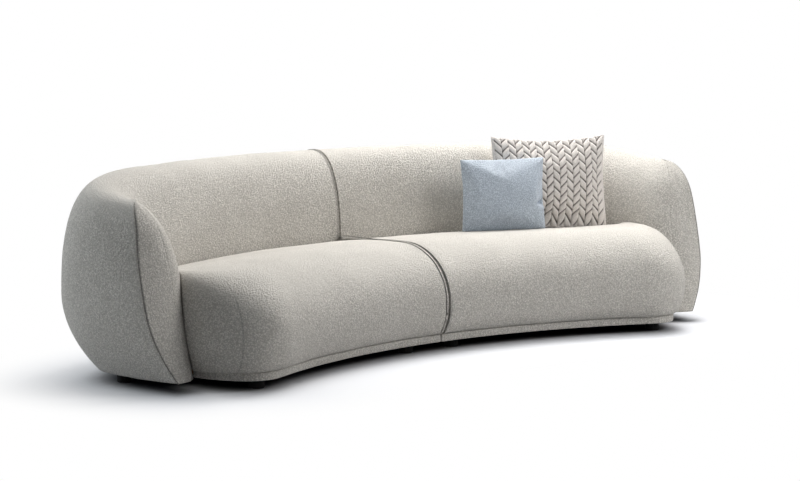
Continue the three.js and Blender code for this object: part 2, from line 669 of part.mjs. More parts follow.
// Everything one module is made of, for the right-hand module.
function buildModule(prefix, holes) {
  const group = new THREE.Group();
  const add = (name, geometry, finish) => group.add(mesh(`${prefix}_${name}`, geometry, finish));
  const feet = footSpots();

  // Plinth: board, padded edge, dust cover.
  const fixings = [...feet.map(({ x, y }) => ({ x, y, r: STUD_RADIUS + FIT_CLEAR })), ...holes.board];
  add('base_board', block(boardOutline(0), BOARD_BOTTOM_Z, BOARD_TOP_Z, fixings), MATERIALS.plywood);
  const padLine = (setback) => (t) => planOffset(FRONT_PLAN, t, setback);
  const padFace = shares(0, BOARD_FRONT_END_SHARE, 18).map(padLine(PLINTH_SETBACK));
  const padDepth = PLINTH_SETBACK + PLINTH_PAD + PLINTH_LIP;
  const padBack = shares(BOARD_FRONT_END_SHARE, 0, 18).map(padLine(padDepth));
  const pad = [...padFace, ...padBack];
  pad.forEach((point) => { point.x = Math.max(point.x, PLINTH_END_X); });
  const boardSpace = block(boardOutline(FIT_CLEAR), BOARD_BOTTOM_Z, BOARD_TOP_Z + PLY);
  const padBlock = block(pad, PLINTH_BOTTOM_Z, PLINTH_TOP_Z);
  add('plinth_pad', cut(padBlock, wallGeometry(CUT_CLEAR), boardSpace), MATERIALS.boucle);
  const dustHoles = feet.map(({ x, y }) => ({ x, y, r: FOOT_RADIUS + FOOT_HOLE_CLEAR }));
  const cloth = block(boardOutline(-DUST_INSET), BOARD_BOTTOM_Z - DUST_COVER, BOARD_BOTTOM_Z, dustHoles);
  add('dust_cover', cut(cloth, ...holes.cloth), MATERIALS.cloth);

  // Seat frame and webbing.
  const frontBand = railBand(FRONT_PLAN, FRONT_RAIL_END_SHARE, SEAT_RAIL_FRONT_INSET, 1, 8);
  const backBand = railBand(INNER_PLAN, BACK_RAIL_END_SHARE, SEAT_RAIL_BACK_INSET, -1, 7);
  add('seat_front_rail', block(frontBand, BOARD_TOP_Z, SEAT_RAIL_TOP_Z), MATERIALS.plywood);
  add('seat_back_rail', block(backBand, BOARD_TOP_Z, SEAT_RAIL_TOP_Z), MATERIALS.plywood);
  const railEnd = Math.min(frontRailLine(FRONT_RAIL_END_SHARE).x, backRailLine(BACK_RAIL_END_SHARE).x);
  const railSpan = railEnd - PLY - SEAT_RAIL_END_X;
  add('seat_inner_rail', crossRail(SEAT_RAIL_END_X), MATERIALS.plywood);
  add('seat_outer_rail', crossRail(SEAT_RAIL_END_X + railSpan), MATERIALS.plywood);
  const pitch = (railSpan + PLY - WEB_WIDTH - 2 * WEB_EDGE) / (WEB_COUNT - 1);
  const firstStrap = SEAT_RAIL_END_X + WEB_EDGE + WEB_WIDTH / 2;
  const straps = Array.from({ length: WEB_COUNT }, (_, i) => strap(firstStrap + pitch * i));
  const crossShare = (i) => (i + 1) / (WEB_CROSS_COUNT + 1);
  const crossings = Array.from({ length: WEB_CROSS_COUNT }, (_, i) => crossStrap(railSpan, crossShare(i)));
  add('seat_webbing', join([...straps, ...crossings]), MATERIALS.webbing);

  // Seat upholstery, hollow below for the frame and cut to lie against the back and arm.
  const wellTop = SEAT_RAIL_TOP_Z + WEB_THICK + FIT_CLEAR;
  const well = block(seatWell(POCKET_CLEAR), SEAT_BOTTOM_Z - OVERCUT, wellTop);
  add('seat_cushion', cut(seatGeometry(), wallGeometry(CUT_CLEAR), well), MATERIALS.boucle);

  // Back frame: two arched boards, ribs between them and a bent panel in front of the ribs.
  const archEnd = POCKET_END_SHARE - 0.005;
  const archStrip = ribStrip(0.02, archEnd, -RIB_DEPTH / 2, RIB_DEPTH / 2, ARCH_STEPS);
  const arch = (low, high) => block(archStrip, low, high);
  add('back_bottom_rail', arch(BOARD_TOP_Z, BOARD_TOP_Z + PLY), MATERIALS.plywood);
  add('back_top_rail', arch(RIB_TOP_Z, RIB_TOP_Z + PLY), MATERIALS.plywood);
  RIB_SHARES.forEach((share, i) => {
    const { spot, turn } = ribAt(share);
    const bar = new THREE.BoxGeometry(PLY, RIB_DEPTH - 2 * RIB_RELIEF, RIB_TOP_Z - BOARD_TOP_Z - PLY);
    const rib = mesh(`${prefix}_back_rib_${i + 1}`, bar, MATERIALS.plywood);
    rib.position.set(spot.x, spot.y, (RIB_TOP_Z + BOARD_TOP_Z + PLY) / 2);
    rib.rotation.z = turn;
    group.add(rib);
  });
  const panelBack = -RIB_DEPTH / 2 - FIT_CLEAR;
  const panelFront = -RIB_DEPTH / 2 - PANEL - FIT_CLEAR;
  const panel = ribStrip(0.02, archEnd, panelFront, panelBack, ARCH_STEPS);
  add('back_panel', block(panel, BOARD_TOP_Z + PANEL_EDGE, RIB_TOP_Z + PLY - PANEL_EDGE), MATERIALS.plywood);

  // Back and arm upholstery over that frame, rebated over the board.
  const rebate = block(boardOutline(REBATE_CLEAR), SKIRT_Z - OVERCUT, BOARD_TOP_Z + FIT_CLEAR);
  const pocketFront = -RIB_DEPTH / 2 - PANEL - POCKET_CLEAR;
  const pocketBack = RIB_DEPTH / 2 + POCKET_CLEAR;
  const pocketStrip = ribStrip(0.015, POCKET_END_SHARE, pocketFront, pocketBack, ARCH_STEPS);
  const pocket = block(pocketStrip, SKIRT_Z - OVERCUT, RIB_TOP_Z + PLY + POCKET_CLEAR);
  add('back_cushion', cut(wallGeometry(), rebate, pocket), MATERIALS.boucle);

  feet.forEach((spot, i) => add(`foot_${i + 1}`, footGeometry(spot), MATERIALS.foot));
  return group;
}

// Cranked bars under the left module reach under the right one and carry an upright pin.
function linkBar(y) {
  const low = BOARD_BOTTOM_Z - 2 * LINK_THICK - FIT_CLEAR;
  const box = (fromX, toX, fromZ, toZ) => {
    const bar = new THREE.BoxGeometry(toX - fromX, LINK_WIDTH, toZ - fromZ);
    return bar.translate((fromX + toX) / 2, y, (fromZ + toZ) / 2);
  };
  const hold = box(-LINK_HOLD, -LINK_CRANK_X, BOARD_BOTTOM_Z - LINK_THICK, BOARD_BOTTOM_Z);
  const crank = box(-LINK_CRANK_X - LINK_THICK, -LINK_CRANK_X, low, BOARD_BOTTOM_Z);
  const reach = box(-LINK_CRANK_X - LINK_THICK, LINK_REACH, low, low + LINK_THICK);
  const pin = turned([
    [0, low],
    [LINK_PIN, low],
    [LINK_PIN, LINK_PIN_TOP_Z - LINK_THICK],
    [LINK_PIN / 2, LINK_PIN_TOP_Z],
    [0, LINK_PIN_TOP_Z],
  ], LINK_PIN_X, y);
  const barBottom = BOARD_BOTTOM_Z - LINK_THICK;
  const bores = LINK_SCREW_XS.map((x) => screwBore({ x: -x, y }, barBottom, BOARD_TOP_Z));
  return cut(join([hold, crank, reach, pin]), ...bores);
}

// Flat socket plate under the right module, with a hole for the pin.
function linkSocket(y) {
  const half = LINK_WIDTH / 2;
  const [low, high] = [LINK_CRANK_X, LINK_HOLD];
  const corners = [[low, y - half], [high, y - half], [high, y + half], [low, y + half]];
  const outline = corners.map(([px, py]) => new THREE.Vector2(px, py));
  const plateBottom = BOARD_BOTTOM_Z - LINK_THICK;
  const plate = block(outline, plateBottom, BOARD_BOTTOM_Z, [{ x: LINK_PIN_X, y, r: LINK_PIN_HOLE }]);
  const bores = LINK_SOCKET_SCREW_XS.map((x) => screwBore({ x, y }, plateBottom, BOARD_TOP_Z));
  return cut(plate, ...bores);
}

const NAMED_YS = [['front', LINK_YS[0]], ['rear', LINK_YS[1]]];
const boardBore = (x, y) => ({ x, y, r: SCREW_RADIUS + FIT_CLEAR });
const boardBores = (xs) => LINK_YS.flatMap((y) => xs.map((x) => boardBore(x, y)));
const notch = [2 * (LINK_HOLD + LINK_THICK), LINK_WIDTH + 3 * LINK_THICK, 3 * LINK_THICK];
const clothNotches = LINK_YS.map((y) => new THREE.BoxGeometry(...notch).translate(0, y, BOARD_BOTTOM_Z));

const sofa = new THREE.Group();
const leftModule = buildModule('left', { board: boardBores(LINK_SCREW_XS), cloth: clothNotches });
leftModule.scale.x = -1;
const pinHoles = LINK_YS.map((y) => ({ x: LINK_PIN_X, y, r: LINK_BOARD_HOLE }));
const rightHoles = [...boardBores(LINK_SOCKET_SCREW_XS), ...pinHoles];
const rightModule = buildModule('right', { board: rightHoles, cloth: clothNotches });
NAMED_YS.forEach(([place, y]) => {
  sofa.add(mesh(`left_link_bar_${place}`, linkBar(y), MATERIALS.steel));
  rightModule.add(mesh(`right_link_socket_${place}`, linkSocket(y), MATERIALS.steel));
  LINK_SCREW_XS.forEach((x, i) => {
    leftModule.add(mesh(`left_link_screw_${place}_${i + 1}`, screwGeometry({ x, y }), MATERIALS.steel));
  });
  LINK_SOCKET_SCREW_XS.forEach((x, i) => {
    rightModule.add(mesh(`right_link_screw_${place}_${i + 1}`, screwGeometry({ x, y }), MATERIALS.steel));
  });
});
sofa.add(leftModule, rightModule);

// The two loose cushions stand on the right seat.
function looseCushion(name, spec, finish) {
  const made = mesh(name, cushionGeometry(spec), finish);
  const spot = planOffset(INNER_PLAN, spec.backShare, -spec.backGap);
  const across = planOffset(INNER_PLAN, spec.backShare, 0).sub(spot);
  const turn = Math.atan2(-across.x, across.y) + rad(spec.turnDeg);
  made.rotation.set(-rad(spec.leanDeg), 0, turn, 'ZXY');
  made.position.set(spot.x, spot.y, seatTopAt(spec.backShare, spec.backGap) + spec.rise);
  return made;
}
rightModule.add(looseCushion('blue_cushion', BLUE, MATERIALS.blueWeave));
rightModule.add(looseCushion('woven_cushion', WOVEN, MATERIALS.plaited));

// The origin is on the floor under the middle of the whole sofa.
const extent = new THREE.Box3().setFromObject(sofa);
const middle = extent.getCenter(new THREE.Vector3());
sofa.position.set(-middle.x, -middle.y, -extent.min.z);

const model = new THREE.Group();
model.add(sofa);
model.updateMatrixWorld(true);

export default model;
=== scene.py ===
"""Curved two-module sofa: upholstery, loose cushions, materials, light and camera."""

import json
import logging
from dataclasses import dataclass, field
from enum import Enum
from math import pi, radians
from typing import Callable, ClassVar, Sequence

import bmesh
import bpy
import numpy as np
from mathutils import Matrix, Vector


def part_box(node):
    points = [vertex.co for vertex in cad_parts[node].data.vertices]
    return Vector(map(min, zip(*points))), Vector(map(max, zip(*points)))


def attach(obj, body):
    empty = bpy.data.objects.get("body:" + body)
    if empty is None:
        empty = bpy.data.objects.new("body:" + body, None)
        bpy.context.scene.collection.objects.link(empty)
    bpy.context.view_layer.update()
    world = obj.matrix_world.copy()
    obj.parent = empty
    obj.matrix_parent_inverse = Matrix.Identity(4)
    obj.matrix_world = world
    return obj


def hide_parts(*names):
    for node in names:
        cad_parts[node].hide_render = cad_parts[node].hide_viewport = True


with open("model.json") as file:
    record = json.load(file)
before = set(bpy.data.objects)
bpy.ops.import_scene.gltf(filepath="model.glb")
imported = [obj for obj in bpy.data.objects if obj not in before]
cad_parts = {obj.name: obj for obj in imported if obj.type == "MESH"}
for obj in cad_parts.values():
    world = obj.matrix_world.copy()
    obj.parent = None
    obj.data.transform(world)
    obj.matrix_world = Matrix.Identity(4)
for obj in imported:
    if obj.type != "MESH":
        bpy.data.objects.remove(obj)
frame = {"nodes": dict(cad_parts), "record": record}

log = logging.getLogger("sofa")

Array = np.ndarray


class Side(Enum):
    """One module of the sofa: its name prefix and the sign of its X."""

    LEFT = ("left", -1.0)
    RIGHT = ("right", 1.0)

    @property
    def prefix(self) -> str:
        """Prefix of the module's node names."""
        return self.value[0]

    @property
    def sign(self) -> float:
        """+1 on the right, -1 on the mirrored left."""
        return self.value[1]

    @property
    def body(self) -> str:
        """Name of the module's body."""
        return f"{self.prefix}_module"


# Small array helpers


def smooth(t: Array) -> Array:
    """Smoothstep 3t^2 - 2t^3 with t held between 0 and 1."""
    t = np.clip(t, 0.0, 1.0)
    return t * t * (3.0 - 2.0 * t)


def mix(a: Array, b: Array, t: Array) -> Array:
    """Linear blend from a to b."""
    return a + (b - a) * t


def eased(t: Array, low: float, high: float) -> Array:
    """Smoothstep of t between low and high."""
    return smooth((t - low) / (high - low))


def bell(distance: Array, width: float) -> Array:
    """exp(-(d / w)^2)."""
    return np.exp(-((distance / width) ** 2))


def unit(v: Array) -> Array:
    """Vectors along the last axis at length 1."""
    return v / np.maximum(np.linalg.norm(v, axis=-1, keepdims=True), 1e-9)


def run_length(points: Array, axis: int) -> Array:
    """Distance travelled along one axis of a grid of points, from its first row."""
    step = np.linalg.norm(np.diff(points, axis=axis), axis=-1)
    start = np.zeros_like(np.take(step, [0], axis=axis))
    return np.concatenate([start, np.cumsum(step, axis=axis)], axis=axis)


def surface_normals(points: Array) -> Array:
    """Unit normals of a grid, dP/du x dP/dv."""
    along = np.gradient(points, axis=0)
    across = np.gradient(points, axis=1)
    return unit(np.cross(along, across))


def waves(points: Array, scale: float, seed: int, octaves: int = 3) -> Array:
    """Soft seeded unevenness between about -1 and 1.

    A sum of sines with random directions k and phases p: sum of a_i sin(k_i . x / scale + p_i).

    Args:
        points: positions, in metres.
        scale: size of the largest waves, in metres.
        seed: seed of the random directions.
        octaves: how many times the wave size halves.
    """
    rng = np.random.default_rng(seed)
    total = np.zeros(points.shape[:-1])
    for octave in range(octaves):
        direction = unit(rng.normal(size=(6, 3))) * (2 * pi / scale) * 2.0**octave
        phase = rng.uniform(0, 2 * pi, 6)
        total += np.sin(points @ direction.T + phase).sum(-1) / (2.45 * 1.7**octave)
    return total / 1.6


# Plan curves and the fitted sections


@dataclass(frozen=True)
class Plan:
    """A plan curve: an arc that leaves the joint along +X, then one cubic that turns the corner.

    With a = sweep and s = share / knee, the arc is (R sin as, y0 - R (1 - cos as)).
    """

    start_y: float
    radius: float
    sweep: float
    end: tuple[float, float]
    heading: float
    leave: float
    arrive: float
    knee: float

    def at(self, share: Array) -> Array:
        """Points at the given shares of the curve, as (..., 2)."""
        share = np.asarray(share, float)
        sweep, heading = radians(self.sweep), radians(self.heading)
        turn = sweep * np.clip(share / self.knee, 0, 1)
        arc = np.stack([self.radius * np.sin(turn), self.start_y - self.radius * (1 - np.cos(turn))], -1)
        first = np.array([self.radius * np.sin(sweep), self.start_y - self.radius * (1 - np.cos(sweep))])
        last = np.array(self.end)
        second = first + self.leave * np.array([np.cos(sweep), -np.sin(sweep)])
        third = last - self.arrive * np.array([np.cos(heading), -np.sin(heading)])
        t = np.clip((share - self.knee) / (1 - self.knee), 0, None)[..., None]
        early = (1 - t) ** 3 * first + 3 * t * (1 - t) ** 2 * second
        bend = early + 3 * t * t * (1 - t) * third + t**3 * last
        return np.where((share > self.knee)[..., None], bend, arc)

    def offset(self, share: Array, distance: float) -> Array:
        """Points moved sideways, to the left of the curve's direction for a positive distance."""
        along = unit(self.at(np.minimum(share + 1e-3, 1)) - self.at(np.maximum(share - 1e-3, 0)))
        return self.at(share) + distance * np.stack([-along[..., 1], along[..., 0]], -1)


def turned_in(points: Array, x: Array, inset: Array) -> Array:
    """Rows at the joint get their forced X and are drawn in along the section's own normal.

    Args:
        points: grid of points, one section a row.
        x: forced X of each row, nan where free.
        inset: how far each row, or each point, is drawn in, in metres.
    """
    forced = ~np.isnan(x)
    points[forced, :, 0] = x[forced, None]
    along = np.gradient(points[forced], axis=1)
    normal = unit(np.stack([np.zeros_like(along[..., 0]), along[..., 2], -along[..., 1]], -1))
    depth = inset[:, None] if inset.ndim == 1 else inset
    points[forced] += normal * depth[forced, :, None]
    return points


INNER = Plan(0.611, 2.264, 27.2, (1.232, -0.131), 88.7, 0.305, 0.284, 0.55)
OUTER = Plan(0.956, 2.595, 28.4, (1.485, -0.138), 105.1, 0.471, 0.377, 0.55)
FRONT = Plan(-0.067, 2.241, 25.6, (1.303, 0.107), -90.0, 0.235, 0.261, 0.6)
SHIFT_Y = OUTER.start_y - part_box("right_back_cushion")[1].y
GAP = 0.0015


def rounded_edge(rows: int, edge_rows: int, radius: float) -> tuple[Array, Array]:
    """Forced X (nan where free) and inset of each row, where the first rows turn the corner at the joint.

    X = gap + r (1 - cos q) and inset = r (1 - sin q), with q from 0 to a right angle.
    """
    q = np.linspace(0, pi / 2, edge_rows)
    x = np.full(rows, np.nan)
    inset = np.zeros(rows)
    x[:edge_rows] = GAP + radius * (1 - np.cos(q))
    inset[:edge_rows] = radius * (1 - np.sin(q))
    return x, inset


@dataclass(frozen=True)
class Wall:
    """The back and the arm as one surface: u runs from the joint to the arm's front.

    Pairs are values at the back and at the arm. A section's columns go up the inner face, over the
    crest and down the outer face.
    """

    back_height: float = 0.767
    arm_height: float = 0.684
    skirt: float = 0.0432
    back_crest: float = 0.393
    arm_crest: float = 0.433
    bulge: float = 0.341
    hem_share: float = 0.627
    nose: float = 0.891
    pivot: float = 0.923
    panel_seam: float = 0.985
    board_top: float = 0.0686
    board_share: float = 0.615
    board_end: float = 0.865
    ridge: tuple[float, float] = (0.5, 0.567)
    inner_power: tuple[float, float] = (2.4, 1.74)
    outer_power: tuple[float, float] = (2.17, 2.34)
    arm_blend: tuple[float, float] = (0.4, 0.9)
    corner_share: float = 0.8
    corner: float = 0.087
    lean: float = 0.1755
    lean_bow: float = 0.017
    arm_run: float = 0.95
    nose_power: float = 2.4
    fall: tuple[float, float] = (0.494, 0.98)
    levels: int = 92
    edge_rows: int = 8
    edge_round: float = 0.006

    def stations(self) -> tuple[Array, Array, Array]:
        """u, forced X and inset of each row of points.

        Past the nose share u = u0 + (1 - u0) sin f, with extra rows beside the two seams.
        """
        seam = np.arcsin((self.panel_seam - self.nose) / (1 - self.nose))
        near = np.concatenate([np.linspace(0, pi / 2, 36), seam + np.linspace(-0.08, 0.08, 21)])
        last = pi / 2 - np.array([0.001, 0.002, 0.004, 0.007, 0.011, 0.016, 0.023, 0.032])
        f = np.unique(np.round(np.concatenate([near, last]), 5))
        run = np.concatenate([[0.0015, 0.003, 0.005, 0.014, 0.03], np.linspace(0.05, self.nose, 118)[:-1]])
        nose = self.nose + (1 - self.nose) * np.minimum(np.sin(f), 1)
        u = np.concatenate([np.zeros(self.edge_rows), run, nose])
        u[-1] = 1.0
        return u, *rounded_edge(u.size, self.edge_rows, self.edge_round)

    def faces(self, z: Array, arm: Array) -> tuple[Array, Array]:
        """Shares across the wall of the inner and the outer face at a height share z.

        Inner face m (1 - (1 - r^p)^(1/p)) above its crest; outer face m + (1 - m) (1 - f^q)^(1/q) above the
        bulge and 1 - (1 - h) g^2 below it, where r, f and g run from 0 to 1 over those heights.
        """
        tall = self.back_height - self.skirt
        m, p, r = (mix(*pair, arm) for pair in (self.ridge, self.inner_power, self.outer_power))
        crest = (mix(self.back_crest, self.arm_crest, arm) - self.skirt) / tall
        bulge = (self.bulge - self.skirt) / tall
        rise = np.clip((z - crest) / (1 - crest), 0, 1)
        fall = np.clip((z - bulge) / (1 - bulge), 0, 1)
        inner = m * (1 - np.clip(1 - rise**p, 0, 1) ** (1 / p))
        under = 1 - (1 - self.hem_share) * np.clip((bulge - z) / bulge, 0, 1) ** 2
        outer = np.where(z > bulge, m + (1 - m) * np.clip(1 - fall**r, 0, 1) ** (1 / r), under)
        return inner, outer

    def points(self) -> Array:
        """The right module's grid: up the inner face, over the crest and down the outer face, in metres."""
        u, x, inset = self.stations()
        up = np.sin(np.linspace(0, pi / 2, self.levels)) ** 1.05
        z = np.concatenate([up, up[-2::-1]])
        outside = np.arange(z.size) >= self.levels
        U, Z = np.meshgrid(u, z, indexing="ij")
        inner, outer = self.faces(Z, eased(U, *self.arm_blend))
        top = np.clip((Z - self.corner_share) / (1 - self.corner_share), 0, 1)
        setback = self.lean * Z * (self.arm_height - self.skirt) + self.lean_bow * Z**2
        setback += self.corner * (1 - np.sqrt(1 - top**2))
        share = U * (1 - setback * (1 - INNER.knee) / self.arm_run)
        taper = np.clip((U - self.nose) / (1 - self.nose), 0, 1)
        close = np.clip(1 - taper**self.nose_power, 0, 1) ** (1 / self.nose_power)
        middle = inner + self.pivot * (outer - inner)
        across = middle + (np.where(outside, outer, inner) - middle) * close
        a, b = INNER.at(share), OUTER.at(share)
        spot = a + (b - a) * across[..., None]
        height = mix(self.back_height, self.arm_height, eased(share, *self.fall))
        points = np.concatenate([spot, (self.skirt + (height - self.skirt) * Z)[..., None]], -1)
        return turned_in(points, x, inset)

    def closed(self, points: Array) -> Array:
        """Adds the columns that turn under: up the board's edge and across its top, or flat at the arm."""
        u, _, _ = self.stations()
        on_board = smooth((self.board_end - u) / 0.02)
        floor = mix(self.skirt, self.board_top, on_board)[:, None]
        inner = self.levels // 2
        points[:, :inner, 2] = np.maximum(points[:, :inner, 2], floor)
        low, high = points[:, -1], points[:, 0]
        edge = mix(high, low, self.board_share / self.hem_share)[:, None]
        edge[..., 2] = low[:, None, 2]
        up = edge.copy()
        up[..., 2] = np.maximum(floor, edge[..., 2])
        far = mix(up, points[:, :1], 0.5)
        far[..., 2] = floor
        return np.concatenate([points, mix(low[:, None], edge, 0.5), edge, up, far], 1)


@dataclass(frozen=True)
class Seat:
    """The seat pad: t runs along the front line, v from under the front roll to the back."""

    bottom: float = 0.0686
    nose: float = 0.194
    top: float = 0.424
    back: float = 0.395
    roll: float = 0.266
    undercut: float = 0.053
    tuck: float = 0.004
    front_seam: float = 0.765
    back_share: float = 0.8
    lower_power: float = 1.8
    upper_power: float = 2.05
    side_share: float = 0.6
    lip: float = 0.010
    stops: tuple[float, float, float, float] = (0.2, 0.56, 0.78, 0.90)
    columns: int = 130
    edge_rows: int = 8
    edge_round: float = 0.016
    top_gap: float = 0.0013

    def stations(self) -> tuple[Array, Array, Array]:
        """t, forced X and inset of each row, with the joint's corner turned as on the wall."""
        seam = self.front_seam + np.linspace(-0.008, 0.008, 13)
        near = [0.0015, 0.003, 0.005, 0.012, 0.03]
        t = np.concatenate([np.zeros(self.edge_rows), near, np.linspace(0.05, 1, 150), seam])
        t.sort()
        return t, *rounded_edge(t.size, self.edge_rows, self.edge_round)

    def points(self) -> Array:
        """The right module's grid: front roll, top, back edge and underside, closed round v.

        The stops are the v at which the nose, the crest, the back edge and the underside begin. The joint's
        two faces come closer to each other on the top.
        Lower front d = e (1 - sin^(2/b) f), z = zn - (zn - z0) cos^(2/b) f;
        upper front d = r (1 - cos^(2/a) f), z = zn + (zt - zn) sin^(2/a) f; top z = zt - (zt - zb) q^2.
        """
        t, x, inset = self.stations()
        v = np.linspace(0, 1, self.columns)
        T, V = np.meshgrid(t, v, indexing="ij")
        start, end = FRONT.at(T), INNER.at(self.back_share * T)
        depth = np.linalg.norm(end - start, axis=-1)
        roll = np.minimum(self.roll * mix(1.0, self.side_share, eased(T, 0.7, 1.0)), 0.8 * depth)
        under = np.minimum(self.undercut, 0.3 * depth)
        reach = depth - self.tuck
        nose, crest, back, floor = self.stops
        f = np.clip(V / nose, 0, 1) * pi / 2
        power = 2 / self.lower_power
        d = under * (1 - np.sin(f) ** power)
        z = self.nose - (self.nose - self.bottom) * np.cos(f) ** power
        f = np.clip((V - nose) / (crest - nose), 0, 1) * pi / 2
        power = 2 / self.upper_power
        d = np.where(V >= nose, roll * (1 - np.cos(f) ** power), d)
        z = np.where(V >= nose, self.nose + (self.top - self.nose) * np.sin(f) ** power, z)
        q = np.clip((V - crest) / (back - crest), 0, 1)
        curl = np.clip((q - 0.93) / 0.07, 0, 1)
        dip = (self.top - self.back) * q**2 + self.lip * (1 - np.sqrt(1 - curl**2))
        d = np.where(V >= crest, mix(roll, reach, q), d)
        z = np.where(V >= crest, self.top - dip, z)
        down = np.clip((V - back) / (floor - back), 0, 1)
        z = np.where(V >= back, mix(self.back - self.lip, self.bottom, down), z)
        home = np.clip((V - floor) / (1 - floor), 0, 1)
        d = np.where(V >= floor, mix(reach, under, home), d)
        spot = start + (end - start) * (d / depth)[..., None]
        points = np.concatenate([spot, z[..., None]], -1)
        level = eased(v, 0.46, 0.62)
        points = turned_in(points, x, inset[:, None] * (1 - 0.92 * level))
        points[~np.isnan(x), :, 0] -= self.top_gap * level
        points[..., 2] = np.maximum(points[..., 2], self.bottom)
        return points


# Meshes


@dataclass
class Skin:
    """A mesh built from one grid of points.

    Args:
        name: object name.
        points: grid of shape (rows, columns, 3).
        wrap: whether the columns close into a loop.
        caps: whether the first and last rows are closed by a face.
        flip: whether the faces are turned over.
        pinched: whether the last row's two sides meet, so that they are joined instead of capped.
        seam: strength of the painted shade along sewn lines at each point, stored on the mesh for the
            material.
    """

    name: str
    points: Array
    wrap: bool = True
    caps: bool = True
    flip: bool = False
    pinched: bool = False
    seam: Array | None = None

    def build(self) -> bpy.types.Object:
        """Makes the object, with normals outwards and smooth shading."""
        rows, columns = self.points.shape[:2]
        index = np.arange(rows * columns).reshape(rows, columns)
        right = np.roll(index, -1, axis=1) if self.wrap else index[:, 1:]
        left = index if self.wrap else index[:, :-1]
        quads = np.stack([left[:-1], left[1:], right[1:], right[:-1]], -1).reshape(-1, 4)
        faces = quads[:, ::-1] if self.flip else quads
        loops = faces.tolist()
        if self.caps:
            first, last = index[0].tolist(), index[-1].tolist()
            loops += [first[::-1] if not self.flip else first]
            loops += [last if not self.flip else last[::-1]] if not self.pinched else []
        mesh = bpy.data.meshes.new(self.name)
        mesh.from_pydata(self.points.reshape(-1, 3).tolist(), [], loops)
        # The seam value is painted shade along the sewn lines, read by the cloth's material.
        if self.seam is not None:
            mark = mesh.attributes.new("seam", "FLOAT", "POINT")
            mark.data.foreach_set("value", self.seam.astype(np.float32).ravel())
        if self.pinched:
            self._joined(mesh)
        mesh.validate()
        mesh.polygons.foreach_set("use_smooth", np.ones(len(mesh.polygons), bool))
        mesh.update()
        made = bpy.data.objects.new(self.name, mesh)
        bpy.context.scene.collection.objects.link(made)
        return made

    def _joined(self, mesh: bpy.types.Mesh) -> None:
        """Merges the points that lie together."""
        made = bmesh.new()
        made.from_mesh(mesh)
        bmesh.ops.remove_doubles(made, verts=made.verts, dist=2e-5)
        made.to_mesh(mesh)
        made.free()


def vectors(rows: bpy.types.bpy_prop_collection, key: str) -> Array:
    """One vector of each row of a mesh's data."""
    data = np.empty(len(rows) * 3, np.float32)
    rows.foreach_get(key, data)
    return data.reshape(-1, 3).astype(float)


def coordinates(obj: bpy.types.Object) -> Array:
    """Vertex positions of an object's mesh."""
    return vectors(obj.data.vertices, "co")


def panel_places(obj: bpy.types.Object) -> Array:
    """The places (a, b, side) that a cushion's mesh keeps for its points."""
    return vectors(obj.data.attributes["spot"].data, "vector")


def store(obj: bpy.types.Object, name: str, values: Array) -> None:
    """Stores one value a point on an object's mesh, for its material."""
    made = obj.data.attributes.new(name, "FLOAT", "POINT")
    made.data.foreach_set("value", values.astype(np.float32).ravel())


def move_vertices(obj: bpy.types.Object, points: Array) -> None:
    """Writes vertex positions back."""
    obj.data.vertices.foreach_set("co", points.astype(np.float32).ravel())
    obj.data.update()


def vertex_normals(obj: bpy.types.Object) -> Array:
    """Vertex normals of an object's mesh."""
    return vectors(obj.data.vertex_normals, "vector")


def apply_modifiers(obj: bpy.types.Object) -> None:
    """Replaces the mesh by its evaluated form and drops the modifiers."""
    graph = bpy.context.evaluated_depsgraph_get()
    result = bpy.data.meshes.new_from_object(
        obj.evaluated_get(graph), preserve_all_data_layers=True, depsgraph=graph
    )
    obj.modifiers.clear()
    obj.data = result


def modify(obj: bpy.types.Object, kind: str, **settings: object) -> None:
    """Adds a modifier with the given settings and applies it."""
    made = obj.modifiers.new(kind.lower(), kind)
    for key, value in settings.items():
        setattr(made, key, value)
    apply_modifiers(obj)


def keep_outside(obj: bpy.types.Object, target: bpy.types.Object, clearance: float) -> None:
    """Presses the parts of one soft piece that lie inside another out to its surface."""
    modify(
        obj, "SHRINKWRAP", target=target, wrap_method="NEAREST_SURFACEPOINT",
        wrap_mode="OUTSIDE", offset=clearance,
    )


def mirrored(points: Array, side: Side) -> Array:
    """Points of the right module moved into the frame, mirrored for the left module."""
    return points * np.array([side.sign, 1.0, 1.0]) - np.array([0.0, SHIFT_Y, 0.0])


# Shader graphs


def _operator(operation: str, swapped: bool = False) -> Callable[["Wire", "Wire | float"], "Wire"]:
    """An operator method of a wire that adds one Math node, with its two sides swapped if asked."""

    def method(self: "Wire", other: "Wire | float") -> "Wire":
        """The wire of the Math node's result."""
        return self._math(operation, other, self) if swapped else self._math(operation, self, other)

    return method


